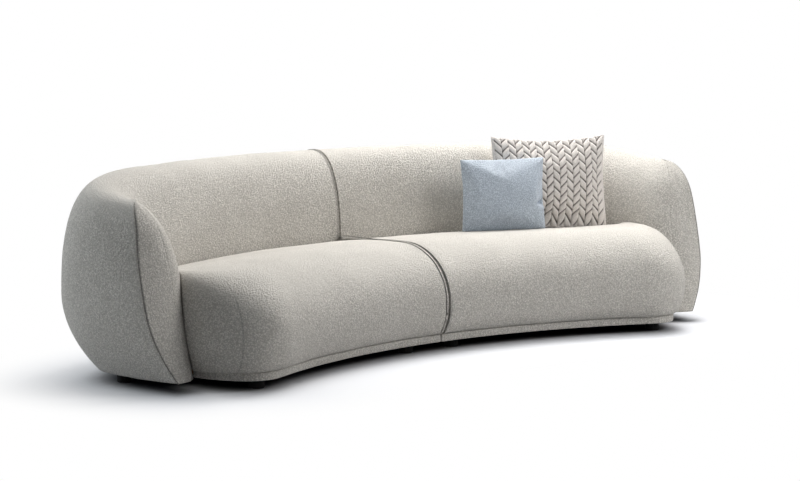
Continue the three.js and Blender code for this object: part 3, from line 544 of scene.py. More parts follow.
class Wire:
    """A shader socket with arithmetic on it."""

    def __init__(self, graph: "Graph", socket: bpy.types.NodeSocket) -> None:
        self.graph = graph
        self.socket = socket

    def _math(self, operation: str, *values: "Wire | float") -> "Wire":
        """Adds one Math node on the given values."""
        node = self.graph.tree.nodes.new("ShaderNodeMath")
        node.operation = operation
        for slot, value in enumerate(values):
            self.graph.feed(node.inputs[slot], value)
        return Wire(self.graph, node.outputs[0])

    __add__ = _operator("ADD")
    __radd__ = _operator("ADD", swapped=True)
    __sub__ = _operator("SUBTRACT")
    __rsub__ = _operator("SUBTRACT", swapped=True)
    __mul__ = _operator("MULTIPLY")
    __rmul__ = _operator("MULTIPLY", swapped=True)

    def highest(self, other: "Wire | float") -> "Wire":
        """The greater of two values."""
        return self._math("MAXIMUM", self, other)

    def sine(self) -> "Wire":
        """Sine of the value, in radians."""
        return self._math("SINE", self)

    def absolute(self) -> "Wire":
        """Absolute value."""
        return self._math("ABSOLUTE", self)

    def spread(self, low: float, high: float, to_low: float = 0.0, to_high: float = 1.0) -> "Wire":
        """Smoothly maps low..high to to_low..to_high."""
        node = self.graph.node(
            "ShaderNodeMapRange", {"interpolation_type": "SMOOTHSTEP"},
            {"Value": self, "From Min": low, "From Max": high, "To Min": to_low, "To Max": to_high},
        )
        return Wire(self.graph, node.outputs["Result"])


class Graph:
    """An emptied node tree, with short calls to fill it."""

    def __init__(self, tree: bpy.types.NodeTree) -> None:
        self.tree = tree
        self.tree.nodes.clear()

    def feed(self, socket: bpy.types.NodeSocket, value: object) -> None:
        """Links a wire to a socket, or sets the socket's own value."""
        if isinstance(value, Wire):
            self.tree.links.new(value.socket, socket)
        else:
            socket.default_value = value

    def node(self, kind: str, settings: dict | None = None, sockets: dict | None = None) -> bpy.types.Node:
        """Adds a node.

        Args:
            kind: node type.
            settings: attributes of the node.
            sockets: input values or wires, by socket name.
        """
        node = self.tree.nodes.new(kind)
        for key, value in (settings or {}).items():
            setattr(node, key, value)
        for key, value in (sockets or {}).items():
            self.feed(node.inputs[key], value)
        return node

    def place(self, scale: Sequence[float] = (1.0, 1.0, 1.0)) -> Wire:
        """Object coordinates in metres, scaled per axis."""
        spot = self.node("ShaderNodeTexCoord")
        found = Wire(self, spot.outputs["Object"])
        return Wire(self, self.node("ShaderNodeMapping", None, {"Vector": found, "Scale": scale}).outputs[0])

    def noise(
        self, where: Wire, scale: float, detail: float = 2.0, rough: float = 0.5, twist: float = 0.0
    ) -> Wire:
        """Noise between 0 and 1."""
        made = self.node(
            "ShaderNodeTexNoise", None,
            {"Vector": where, "Scale": scale, "Detail": detail, "Roughness": rough, "Distortion": twist},
        )
        return Wire(self, made.outputs[0])

    def cells(self, where: Wire, scale: float, soft: float = 0.6) -> Wire:
        """Distance to the nearest of scattered points, blended softly."""
        sockets = {"Vector": where, "Scale": scale, "Smoothness": soft}
        made = self.node("ShaderNodeTexVoronoi", {"feature": "SMOOTH_F1"}, sockets)
        return Wire(self, made.outputs["Distance"])

    def blend(self, factor: Wire | float, a: object, b: object) -> Wire:
        """Colour blend from a to b."""
        made = self.tree.nodes.new("ShaderNodeMix")
        made.data_type = "RGBA"
        self.feed(made.inputs[0], factor)
        self.feed(made.inputs[6], a)
        self.feed(made.inputs[7], b)
        return Wire(self, made.outputs[2])

    def bumped(self, height: Wire, distance: float, strength: float) -> Wire:
        """Normal bent by a height between 0 and 1, which stands for a distance in metres."""
        sockets = {"Height": height, "Distance": distance, "Strength": strength}
        return Wire(self, self.node("ShaderNodeBump", None, sockets).outputs[0])

    def split(self, vector: Wire) -> list[Wire]:
        """X, Y and Z of a vector."""
        made = self.node("ShaderNodeSeparateXYZ", None, {"Vector": vector})
        return [Wire(self, output) for output in made.outputs]

    def vector_math(self, operation: str, sockets: dict, output: str = "Vector") -> Wire:
        """A sum, product or other step on vectors."""
        made = self.node("ShaderNodeVectorMath", {"operation": operation}, sockets)
        return Wire(self, made.outputs[output])

    def attribute(self, name: str) -> Wire:
        """A value stored on the mesh."""
        made = self.node("ShaderNodeAttribute", {"attribute_name": name})
        return Wire(self, made.outputs["Fac"])

    def seen(self) -> Wire:
        """One for rays that show a thing to the camera, straight, by gloss or through glass; else zero."""
        path = self.node("ShaderNodeLightPath")
        straight = Wire(self, path.outputs["Is Camera Ray"])
        gloss = Wire(self, path.outputs["Is Glossy Ray"])
        return straight.highest(gloss).highest(Wire(self, path.outputs["Is Transmission Ray"]))


class Finish(Graph):
    """A material with one principled surface.

    Args:
        name: material name.
    """

    def __init__(self, name: str) -> None:
        self.material = bpy.data.materials.new(name)
        self.material.use_nodes = True
        super().__init__(self.material.node_tree)
        self.surface = self.node("ShaderNodeBsdfPrincipled")
        output = self.node("ShaderNodeOutputMaterial")
        self.tree.links.new(self.surface.outputs[0], output.inputs["Surface"])

    def set(self, **values: object) -> bpy.types.Material:
        """Feeds the surface's sockets, named with underscores for spaces, and returns the material."""
        for key, value in values.items():
            self.feed(self.surface.inputs[key.replace("_", " ")], value)
        return self.material


def linear(code: str) -> tuple[float, float, float, float]:
    """Linear colour of an sRGB hex code."""
    value = np.array([int(code[i : i + 2], 16) for i in (1, 3, 5)]) / 255.0
    out = np.where(value <= 0.04045, value / 12.92, ((value + 0.055) / 1.055) ** 2.4)
    return (*[float(c) for c in out], 1.0)


@dataclass(frozen=True)
class Boucle:
    """Looped wool cloth: curled loops a few millimetres across, with painted shade between them.

    Args:
        name: material name.
        light: colour of the loops.
        dark: colour of the painted shade in the gaps between the loops.
        loop: loops per metre.
        depth: height of the loops, in metres.
    """

    name: str
    light: str
    dark: str
    loop: float = 150.0
    depth: float = 0.0035

    def build(self) -> bpy.types.Material:
        """Makes the material.

        The loops are the rings 0.5 + 0.5 sin(k n) of a bent noise n, over soft cells and coarser clumps.
        """
        graph = Finish(self.name)
        where = graph.place()
        bent = self._bent(graph, where)
        rings = (graph.noise(bent, self.loop * 0.5, 1.0) * 26.0).sine() * 0.5 + 0.5
        cells = 1.0 - graph.cells(bent, self.loop, 0.35) * 1.25
        clumps = graph.noise(where, self.loop * 0.42, 3.0, 0.6)
        yarn = graph.noise(bent, self.loop * 3.2, 2.0, 0.6)
        height = rings * 0.26 + cells * 0.34 + clumps * 0.6 + yarn * 0.2
        patch = graph.noise(where, 4.5, 2.0).spread(0.3, 0.7)
        # Light on the loops and painted shade in the gaps between them, with random tone from cells, rings
        # and yarn.
        loops_and_gap_shade = (cells * 0.55 + rings * 0.25 + yarn * 0.35).spread(0.35, 0.85)
        # Up-facing cloth gets less of the painted gap shade, as the light from above washes the grain out.
        top_light_fade = self._top_light_fade(graph)
        tone = (loops_and_gap_shade * (1.0 - top_light_fade * 0.75) + top_light_fade * 0.52) * 0.88 + patch * 0.12
        cloth = graph.blend(tone, linear(self.dark), linear(self.light))
        return graph.set(
            # Along the stored seam value the cloth darkens to #3A3937: painted shade of the sewn lines and
            # of the right seat's joint edge.
            Base_Color=graph.blend(graph.attribute("seam") * 0.7, cloth, linear("#3A3937")),
            Roughness=0.95,
            Specular_IOR_Level=0.12,
            Sheen_Weight=0.2,
            Sheen_Roughness=0.55,
            Normal=graph.bumped(height, self.depth, 0.85),
        )

    def _top_light_fade(self, graph: Graph) -> Wire:
        """How far the cloth faces up; there the painted shade between the loops is faded, as the bright
        light from above washes the grain out.
        """
        facing = graph.node("ShaderNodeNewGeometry")
        return graph.split(Wire(graph, facing.outputs["Normal"]))[2].spread(0.3, 0.9)

    def _bent(self, graph: Graph, where: Wire) -> Wire:
        """Coordinates pushed about by less than a loop, so that no row lines up."""
        sockets = {"Vector": where, "Scale": self.loop * 0.9, "Detail": 1.0}
        push = Wire(graph, graph.node("ShaderNodeTexNoise", None, sockets).outputs["Color"])
        scaled = graph.vector_math("SCALE", {0: push, "Scale": 0.85 / self.loop})
        return graph.vector_math("ADD", {0: where, 1: scaled})


@dataclass(frozen=True)
class Plait:
    """Soft short-napped cloth of the plaited cushion, with painted shade in the folds."""

    name: str
    light: str
    dark: str

    def build(self) -> bpy.types.Material:
        """Makes the material; a value stored on the mesh darkens the folds with painted shade."""
        graph = Finish(self.name)
        where = graph.place()
        nap = graph.noise(where, 420.0, 3.0, 0.65)
        # Painted shade: the folds of the relief are darkened towards the dark colour.
        fold_shade = graph.attribute("fold_shade")
        tone = (nap.spread(0.3, 0.7) * 0.3 + 0.7) * fold_shade.spread(0.2, 0.8, 0.0, 1.0)
        return graph.set(
            Base_Color=graph.blend(tone, linear(self.dark), linear(self.light)),
            Roughness=0.9,
            Specular_IOR_Level=0.15,
            Sheen_Weight=0.25,
            Sheen_Roughness=0.5,
            Normal=graph.bumped(nap, 0.0012, 0.6),
        )


@dataclass(frozen=True)
class Plywood:
    """Raw birch plywood: long grain with faint figure."""

    name: str = "plywood"

    def build(self) -> bpy.types.Material:
        """Makes the material."""
        graph = Finish(self.name)
        grain = graph.noise(graph.place((6.0, 70.0, 70.0)), 3.0, 6.0, 0.6, 0.4)
        figure = graph.noise(graph.place(), 5.0, 2.0)
        tone = grain.spread(0.3, 0.7) * 0.7 + figure * 0.3
        return graph.set(
            Base_Color=graph.blend(tone, linear("#A97F52"), linear("#D8B98A")),
            Roughness=grain * 0.2 + 0.55,
            Normal=graph.bumped(grain, 0.0006, 0.5),
        )


@dataclass(frozen=True)
class Weave:
    """Plain woven cloth or webbing from crossed yarns.

    Height of the yarns: |sin(kx)| and |sin(ky)|, the greater one on top.
    """

    name: str
    light: str
    dark: str
    pitch: float

    def build(self) -> bpy.types.Material:
        """Makes the material."""
        graph = Finish(self.name)
        x, y, _ = graph.split(graph.place())
        yarn = (x * (pi / self.pitch)).sine().absolute() * (y * (pi / self.pitch)).sine().absolute()
        fuzz = graph.noise(graph.place(), 900.0)
        tone = yarn * 0.7 + fuzz * 0.3
        return graph.set(
            Base_Color=graph.blend(tone, linear(self.dark), linear(self.light)),
            Roughness=0.88,
            Normal=graph.bumped(yarn, 0.0005, 0.7),
        )


@dataclass(frozen=True)
class Moulded:
    """Moulded plastic or plated metal with a fine uneven surface."""

    name: str
    colour: str
    roughness: float
    metallic: float
    grain: float = 260.0
    gloss: float = 0.5

    def build(self) -> bpy.types.Material:
        """Makes the material."""
        graph = Finish(self.name)
        fine = graph.noise(graph.place(), self.grain, 3.0)
        broad = graph.noise(graph.place(), 18.0, 2.0)
        base = linear(self.colour)
        worn = tuple(min(1.0, c * 1.5 + 0.002) for c in base[:3]) + (1.0,)
        return graph.set(
            Base_Color=graph.blend(broad.spread(0.35, 0.75) * 0.5, base, worn),
            Metallic=self.metallic,
            Specular_IOR_Level=self.gloss,
            Roughness=fine * 0.2 + (self.roughness - 0.1),
            Normal=graph.bumped(fine, 0.0003, 0.4),
        )


@dataclass
class Finishes:
    """Every finish of the sofa, by record slot."""

    made: dict[str, bpy.types.Material] = field(default_factory=dict)

    def build(self) -> "Finishes":
        """Makes all materials."""
        self.made = {
            # The dark colour of each looped cloth is painted shade between its loops.
            "boucle": Boucle("boucle", "#EFEBE4", "#BAB6AF", 175.0, 0.0070).build(),
            "blue_weave": Boucle("blue_weave", "#DDE6F0", "#A6B2C0", 220.0, 0.0042).build(),
            # The plaited cloth's dark colour is painted shade in its folds.
            "plaited_weave": Plait("plaited_weave", "#F2ECE7", "#4E4742").build(),
            "plywood": Plywood().build(),
            "webbing": Weave("webbing", "#45454A", "#141416", 0.002).build(),
            "black_cloth": Weave("black_cloth", "#1C1C1D", "#070707", 0.0012).build(),
            "black_foot": Moulded("black_foot", "#070707", 0.7, 0.0, gloss=0.12).build(),
            "steel": Moulded("steel", "#9A9DA1", 0.35, 1.0, 700.0).build(),
        }
        return self

    def paint(self, obj: bpy.types.Object, slot: str) -> None:
        """Gives a piece one finish."""
        obj.data.materials.clear()
        obj.data.materials.append(self.made[slot])

    def dress(self, obj: bpy.types.Object, body: str, node: str, slot: str) -> None:
        """Gives a piece its finish, the body that it rides on and the CAD node that it stands for."""
        self.paint(obj, slot)
        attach(obj, body)
        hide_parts(node)
        log.info("built %s with %d faces", obj.name, len(obj.data.polygons))

    def paint_nodes(self) -> None:
        """Gives every carried-over CAD node the finish of its slot."""
        slots = {entry["node"]: entry["material_slot"] for entry in frame["record"]["subparts"]}
        for name, obj in frame["nodes"].items():
            for slot in obj.material_slots:
                slot.material = self.made[slots[name]]


# Upholstery


def groove(points: Array, distance: Array, depth: float, width: float, fade: Array) -> Array:
    """Sinks a sewn line into a grid by depth exp(-(d / width)^2)."""
    return points - surface_normals(points) * (depth * bell(distance, width) * fade)[..., None]


@dataclass
class Upholstery:
    """The fixed covers of both modules: back with arm, seat and plinth strip.

    A seam is its depth and width; the strip's half sizes are its depth and height.
    """

    PANEL_SEAM: ClassVar[tuple[float, float]] = (0.0018, 0.0035)
    SEAT_SEAM: ClassVar[tuple[float, float]] = (0.0012, 0.0030)
    JOINT_EDGE: ClassVar[tuple[float, float]] = (0.0009, 0.0045)
    SEAT_LIFT: ClassVar[float] = 0.0014
    STRIP_BACK: ClassVar[float] = 0.049
    STRIP_LOW: ClassVar[float] = 0.0383
    STRIP_HALF: ClassVar[tuple[float, float]] = (0.0055, 0.0148)
    STRIP_TUCK: ClassVar[float] = 0.042

    finishes: Finishes
    wall: Wall = field(default_factory=Wall)
    seat: Seat = field(default_factory=Seat)

    def build(self) -> bpy.types.Object:
        """Builds the soft pieces of both modules and returns the right seat, which carries the cushions."""
        shell = self.wall.points()
        wall, strip = self._wall_points(shell.copy()), self._strip_points()
        # Painted shade along the sewn line down the arm's front.
        sewn = self._wall_seam_shade(shell)
        for side in Side:
            face = self._inner_face(shell, side)
            back = self._piece(f"{side.prefix}_back_cover", wall, side, f"{side.prefix}_back_cushion", sewn)
            seat, seam_shade = self._seat_points(side)
            pad = self._piece(f"{side.prefix}_seat_cover", seat, side, f"{side.prefix}_seat_cushion", seam_shade)
            self._piece(f"{side.prefix}_plinth_cover", strip, side, f"{side.prefix}_plinth_pad")
            keep_outside(pad, face, self.SEAT_LIFT)
            bpy.data.objects.remove(face)
            self._settle(back, side, 11)
            self._settle(pad, side, 23)
        return pad

    def _piece(
        self, name: str, points: Array, side: Side, node: str, seam: Array | None = None
    ) -> bpy.types.Object:
        """One cover of a module, in place of its CAD node."""
        pinched = node.endswith("back_cushion")
        grid = mirrored(points, side)
        made = Skin(name, grid, flip=side is Side.LEFT, pinched=pinched, seam=seam).build()
        self.finishes.dress(made, side.body, node, "boucle")
        return made

    def _inner_face(self, shell: Array, side: Side) -> bpy.types.Object:
        """The inner face of back and arm alone, carried down past the board, for the seat to lie against."""
        inner = shell[:, : self.wall.levels]
        below = inner[:, :1].copy()
        below[..., 2] = -0.1
        lip = inner[-1:] + [0.05, -0.05, 0.0]
        low_lip = lip[:, :1] * [1, 1, 0]
        rows = [np.concatenate([below, inner], 1), np.concatenate([low_lip, lip], 1)]
        grid = mirrored(np.concatenate(rows), side)
        return Skin("inner_face", grid, wrap=False, caps=False, flip=side is Side.LEFT).build()

    def _wall_points(self, points: Array) -> Array:
        """The back and arm with its two seams and its closing columns."""
        u, _, _ = self.wall.stations()
        run = run_length(points, 0)
        seam = np.argmin(np.abs(u - self.wall.panel_seam))
        level = np.arange(points.shape[1]) / (self.wall.levels - 1)
        points = groove(points, run - run[seam], *self.PANEL_SEAM, smooth((0.93 - level) / 0.1)[None])
        points = self._front_seam(points, run[-1] - run)
        return self.wall.closed(points)

    def _wall_seam_shade(self, points: Array) -> Array:
        """Strength exp(-(s / w)^2) of the painted shade along the sewn line down the arm's front, with
        nought in the closing columns.
        """
        run = run_length(points, 0)
        level = 1 - np.abs(np.arange(points.shape[1]) / (self.wall.levels - 1) - 1)
        line = bell(run[-1] - run, 0.0028) * smooth((0.97 - level) / 0.06)[None]
        return np.pad(line, ((0, 0), (0, 4)))

    def _front_seam(self, points: Array, away: Array) -> Array:
        """The sewn line down the arm's front edge, a dip between two swells of a exp(-(s / w)^2) each."""
        along = unit(np.gradient(points[-1], axis=0))
        ahead = np.array([0.2, -0.98, 0.0])
        normal = unit(ahead - along * (along @ ahead)[:, None])
        dip = 0.0034 * bell(away, 0.0042) - 0.0016 * bell(away, 0.014)
        return points - normal[None] * np.where(away < 0.05, dip, 0.0)[..., None]

    def _seat_points(self, side: Side) -> tuple[Array, Array]:
        """The seat and the strength of its painted shade: along the sewn line in front and, on the right
        one, round the joint edge.
        """
        points = self.seat.points()
        run = run_length(points, 0)
        t, _, _ = self.seat.stations()
        level = np.linspace(0, 1, points.shape[1])
        seam = run - run[np.argmin(np.abs(t - self.seat.front_seam))]
        fade = smooth((0.40 - level) / 0.1)[None]
        # Painted shade along the sewn line in front.
        seam_shade = 0.38 * bell(seam, 0.003) * fade
        if side is Side.RIGHT:
            edge, corner = run - run[self.seat.edge_rows - 1], run - run[self.seat.edge_rows - 3]
            points = groove(points, edge, *self.JOINT_EDGE, smooth((0.56 - level) / 0.12)[None])
            # Painted shade on the right module's rounded joint edge, which faces away from the key light.
            seam_shade = seam_shade + 0.42 * bell(corner, 0.007) * smooth((0.52 - level) / 0.1)[None]
        return groove(points, seam, *self.SEAT_SEAM, fade), seam_shade

    def _strip_points(self) -> Array:
        """The plinth strip: a rounded bar swept along the front line.

        Its section is (sign(c) |c|^0.35, sign(s) |s|^0.45) with c = cos f and s = sin f.
        """
        share = np.concatenate([[0.0, 0.0015, 0.004], np.linspace(0.01, self._strip_end(), 120)])
        angle = np.linspace(0, 2 * pi, 33)[:-1]
        across = np.sign(np.cos(angle)) * np.abs(np.cos(angle)) ** 0.35
        upright = np.sign(np.sin(angle)) * np.abs(np.sin(angle)) ** 0.45
        half_deep, half_tall = self.STRIP_HALF
        line = FRONT.at(share)
        inward = FRONT.offset(share, 1.0) - line
        back = self.STRIP_BACK + half_deep * (1 + across)
        plan = line[:, None] + inward[:, None] * back[None, :, None]
        z = np.broadcast_to(self.STRIP_LOW + half_tall * (1 + upright), plan.shape[:2])
        points = np.concatenate([plan, z[..., None]], -1)
        points[..., 0] = np.maximum(points[..., 0], 0.0026)
        draw = np.array([0.0035, 0.0012, 0.0])
        middle = points[:3].mean(1, keepdims=True)
        points[:3] += (middle - points[:3]) * (draw / half_tall)[:, None, None]
        return points

    def _strip_end(self) -> float:
        """Share of the front line at which the strip has gone under the arm's cover."""
        share = np.linspace(0.6, 1.0, 400)
        spot = FRONT.offset(share, self.STRIP_BACK)
        arm = INNER.at(np.linspace(0.55, 1.0, 400))
        apart = np.linalg.norm(spot[:, None] - arm[None], axis=-1).min(1)
        run = run_length(spot, 0)
        inside = run[np.argmax(apart < 0.002)] + self.STRIP_TUCK
        return float(np.interp(inside, run, share))

    def _settle(self, obj: bpy.types.Object, side: Side, seed: int) -> None:
        """Gives a tight cover the slight hollows and swells of foam under cloth."""
        points = coordinates(obj)
        broad = waves(points * [side.sign, 1, 1], 0.42, seed, 2) * 0.0016
        fine = waves(points, 0.09, seed + 1, 2) * 0.0004
        move_vertices(obj, points + vertex_normals(obj) * (broad + fine - 0.0016)[:, None])


# Loose cushions


@dataclass(frozen=True)
class CushionShape:
    """A loose cushion's size and place.

    Args:
        node: the CAD node it stands for.
        size: width, height and thickness, in metres.
        turn: turn about Z, in degrees.
        lean: lean to the back, in degrees.
        foot: place of the middle of its low edge, before the frame's shift.
        cells: simulated faces across and up.
        pull: how far the sides and the top edge are drawn in at their middle, in metres.
    """

    node: str
    size: tuple[float, float, float]
    turn: float
    lean: float
    foot: tuple[float, float, float]
    cells: tuple[int, int]
    pull: tuple[float, float]

    @property
    def body(self) -> str:
        """Name of the body that it rides on."""
        return f"{self.node}_body"

    def place(self, local: Array) -> Array:
        """Turns local points (across, out, up) into the frame."""
        lean, turn = radians(self.lean), radians(self.turn)
        x = local[..., 0]
        y = local[..., 1] * np.cos(lean) + local[..., 2] * np.sin(lean)
        z = local[..., 2] * np.cos(lean) - local[..., 1] * np.sin(lean)
        spun = np.stack([x * np.cos(turn) - y * np.sin(turn), x * np.sin(turn) + y * np.cos(turn), z], -1)
        return spun + np.array(self.foot) - np.array([0, SHIFT_Y, 0])


@dataclass(frozen=True)
class PlaitRelief:
    """Puffed bands that slant one way in one column and the other way in the next.

    In a column x = 0..1 a band's own coordinate is r = z / p + s k (x - 1/2) + s / 4 with s = +1 or -1.
    Its height (1 - (2 frac(r) - 1)^2)^0.4 falls off where the band dips under its neighbour.
    """

    columns: int = 16
    pitch: float = 0.0415
    slope: float = 0.74
    depth: float = 0.0130
    border: float = 0.95

    def level(self, spot: Array, size: tuple[float, float, float]) -> Array:
        """Height of the pattern from 0 to 1 at panel places (a, b, side) from -1 to 1."""
        across = (spot[:, 0] / self.border + 1) / 2 * self.columns
        index = np.floor(across)
        x = across - index
        way = np.where(index % 2 == 0, 1.0, -1.0)
        up = (spot[:, 1] + 1) / 2 * size[1]
        r = up / self.pitch + way * self.slope * (x - 0.5) + 0.25 * way
        q = r - np.floor(r)
        band = np.clip(1 - (2 * q - 1) ** 2, 0, 1) ** 0.4
        ends = np.clip(1 - np.abs(2 * x - 1) ** 4, 0, 1) ** 0.5
        tuck = 1 - 0.3 * np.where(way > 0, x, 1 - x) * smooth(1 - q)
        return band * mix(0.55, 1.0, ends) * tuck

    def share(self, spot: Array) -> Array:
        """One on the plaited field of the front panel, nought on its border and on the back."""
        sides = smooth((self.border + 0.012 - np.abs(spot[:, 0])) / 0.02)
        rims = smooth((0.985 - np.abs(spot[:, 1])) / 0.03)
        return sides * rims * smooth(-spot[:, 2] * 2)


@dataclass(frozen=True)
class Dent:
    """A pinch in a cushion's front near an edge: a narrow fold in a broad hollow, with a swell below it.

    Depth: d (0.6 exp(-(t / w)^2) + 0.4 exp(-(t / 3w)^2)) - 0.3 d exp(-((t + 3w) / 2w)^2), faded inwards.
    """

    height: float = -0.27
    width: float = 0.05
    reach: float = 0.42
    depth: float = 0.022

    def level(self, spot: Array) -> Array:
        """How far each place (a, b, side) is pushed in, in metres."""
        t = spot[:, 1] - self.height + 0.12 * (1 - spot[:, 0])
        fold = 0.6 * bell(t, self.width) + 0.4 * bell(t, 3 * self.width)
        swell = 0.3 * bell(t + 3 * self.width, 2 * self.width)
        fade = smooth((spot[:, 0] - 1 + self.reach) / self.reach) * smooth((0.995 - spot[:, 0]) / 0.03)
        return self.depth * (fold - swell) * fade * smooth(-spot[:, 2] * 2)


class CushionMaker:
    """Sews two flat panels together, blows them up by cloth simulation and fits them to their place."""

    STEPS = 26
    SLACK = 1.05
    CLOTH = {
        "use_pressure": True,
        "uniform_pressure_force": 5.0,
        "quality": 6,
        "mass": 0.3,
        "tension_stiffness": 18,
        "compression_stiffness": 18,
        "shear_stiffness": 6,
        "bending_stiffness": 0.35,
        "air_damping": 4,
    }

    def __init__(
        self, shape: CushionShape, relief: PlaitRelief | None = None, dent: Dent | None = None
    ) -> None:
        self.shape = shape
        self.relief = relief
        self.dent = dent

    def build(self, name: str, levels: int) -> bpy.types.Object:
        """Makes the cushion.

        Args:
            name: object name.
            levels: subdivision levels after the simulation.
        """
        points, faces, places = self._panels()
        mesh = bpy.data.meshes.new(name)
        mesh.from_pydata(points.tolist(), [], faces)
        spot = mesh.attributes.new("spot", "FLOAT_VECTOR", "POINT")
        spot.data.foreach_set("vector", places.astype(np.float32).ravel())
        made = bpy.data.objects.new(name, mesh)
        bpy.context.scene.collection.objects.link(made)
        self._blow(made)
        self._fit(made)
        modify(made, "SUBSURF", levels=levels, render_levels=levels)
        self._detail(made)
        made.data.polygons.foreach_set("use_smooth", np.ones(len(made.data.polygons), bool))
        return made

    @staticmethod
    def _quads(grid: Array) -> Array:
        """The four corners of every cell of an index grid."""
        return np.stack([grid[:-1, :-1], grid[1:, :-1], grid[1:, 1:], grid[:-1, 1:]], -1).reshape(-1, 4)

    def _panels(self) -> tuple[Array, list[list[int]], Array]:
        """Points, faces and (a, b, side) of two flat panels that share their rim, apart in the middle."""
        across, up = self.shape.cells
        width, height, thick = self.shape.size
        a, b = np.meshgrid(np.linspace(-1, 1, across + 1), np.linspace(-1, 1, up + 1), indexing="ij")
        full = ((1 - a**2) * (1 - b**2)) ** 0.5
        index = np.arange(a.size).reshape(a.shape)
        rim = full < 1e-9
        second = np.where(rim, index, -1)
        second[~rim] = a.size + np.arange((~rim).sum())
        depth = 0.16 * thick * full
        wide, tall = a * width / 2 * self.SLACK, b * height / 2 * self.SLACK
        front = np.stack([wide, -depth, tall], -1).reshape(-1, 3)
        back = np.stack([wide, depth, tall], -1)[~rim]
        faces = self._quads(index).tolist() + self._quads(second)[:, ::-1].tolist()
        near = np.stack([a, b, -np.ones_like(a)], -1).reshape(-1, 3)
        far = np.stack([a, b, np.ones_like(a)], -1)[~rim]
        return np.concatenate([front, back]), faces, np.concatenate([near, far])

    def _blow(self, obj: bpy.types.Object) -> None:
        """Steps the cloth under pressure, then applies it."""
        cloth = obj.modifiers.new("cloth", "CLOTH")
        cloth.settings.effector_weights.gravity = 0.0
        for key, value in self.CLOTH.items():
            setattr(cloth.settings, key, value)
        cloth.point_cache.frame_start, cloth.point_cache.frame_end = 1, self.STEPS
        for step in range(1, self.STEPS + 1):
            bpy.context.scene.frame_set(step)
        apply_modifiers(obj)
        bpy.context.scene.frame_set(1)

    def _fit(self, made: bpy.types.Object) -> None:
        """Scales the blown form to its size, limits how far its edges draw in, and sets its foot at zero.

        Across and up, a point lies mostly where its panel place (a, b) puts it: the sides come in by
        p (1 - b^2) and the top by q (1 - a^2), the foot by a quarter of that.
        """
        points, (a, b, _) = self._scaled(coordinates(made)), panel_places(made).T
        width, height, _ = self.shape.size
        side, top = self.shape.pull
        flat = np.stack([a * (width / 2 - side * (1 - b**2)), points[:, 1], b * height / 2], -1)
        flat[:, 2] -= b * np.where(b > 0, top, 0.25 * top) * (1 - a**2)
        points = self._scaled(mix(flat, points, 0.12))
        points[:, 2] += height / 2
        move_vertices(made, points)

    def _scaled(self, points: Array) -> Array:
        """Points about their middle, scaled to the cushion's size."""
        width, height, thick = self.shape.size
        low, high = points.min(0), points.max(0)
        return (points - (low + high) / 2) * (np.array([width, thick, height]) / (high - low))

    def _detail(self, made: bpy.types.Object) -> None:
        """Adds the sewn pattern, stores its height for the painted shade in the folds, adds the dent, then
        moves the cushion to its place.
        """
        spot, points, normal = panel_places(made), coordinates(made), vertex_normals(made)
        if self.relief is not None:
            level, share = self.relief.level(spot, self.shape.size), self.relief.share(spot)
            points += normal * (self.relief.depth * (level - 0.8) * share)[:, None]
            # Stored for the painted shade in the folds of the plaited pattern.
            store(made, "fold_shade", mix(1.0, level, share))
        if self.dent is not None:
            points -= normal * self.dent.level(spot)[:, None]
        move_vertices(made, self.shape.place(points))


@dataclass
class LooseCushions:
    """The plain blue cushion and the plaited one behind it."""

    FALL_LIMIT: ClassVar[float] = 0.05
    PRESS_LIMIT: ClassVar[float] = 0.015
    CLEARANCE: ClassVar[float] = 0.0006

    finishes: Finishes
    blue: CushionShape = CushionShape(
        "blue_cushion", (0.400, 0.306, 0.124), -18.0, 5.0, (0.674, 0.3195, 0.4152), (66, 50), (0.006, 0.001)
    )
    woven: CushionShape = CushionShape(
        "woven_cushion", (0.528, 0.396, 0.132), -26.1, 6.0, (0.953, 0.320, 0.4118), (64, 48), (0.005, 0.018)
    )

    def build(self, seat: bpy.types.Object) -> None:
        """Builds both cushions and rests them on the seat."""
        self._add(CushionMaker(self.blue, dent=Dent()), 1, seat, "blue_weave")
        self._add(CushionMaker(self.woven, relief=PlaitRelief()), 2, seat, "plaited_weave")

    def _add(
        self, maker: CushionMaker, levels: int, seat: bpy.types.Object, slot: str
    ) -> None:
        """Builds and rests one cushion, then dresses it: its finish, its body and its hidden CAD node.

        Args:
            maker: what makes the cushion.
            levels: subdivision levels after the simulation.
            seat: the pad that it stands on.
            slot: its finish.
        """
        shape = maker.shape
        made = maker.build(f"{shape.node}_cover", levels)
        self._rest(made, shape, seat)
        self.finishes.dress(made, shape.body, shape.node, slot)

    def _rest(self, made: bpy.types.Object, shape: CushionShape, seat: bpy.types.Object) -> None:
        """Lets the foot of a cushion down on to the seat, less and less up to an eighth of its height.

        The foot's fall is the middle value of what its lowest edge would fall alone; what then lies
        inside the seat is pressed out, by at most 15 mm.
        """
        start, up = coordinates(made), panel_places(made)[:, 1]
        modify(
            made, "SHRINKWRAP", target=seat, wrap_method="PROJECT", use_project_z=True,
            use_negative_direction=True, use_positive_direction=False, project_limit=self.FALL_LIMIT,
        )
        fall = float(np.median((coordinates(made) - start)[up < -0.995, 2]))
        log.info("%s comes down %.1f mm", shape.node, -fall * 1000)
        share = smooth((-0.75 - up) / 0.22)
        start[:, 2] += fall * share
        move_vertices(made, start)
        keep_outside(made, seat, self.CLEARANCE)
        pressed = coordinates(made)
        near = (share > 0) & (np.linalg.norm(pressed - start, axis=-1) < self.PRESS_LIMIT)
        move_vertices(made, np.where(near[:, None], pressed, start))

# Undersides


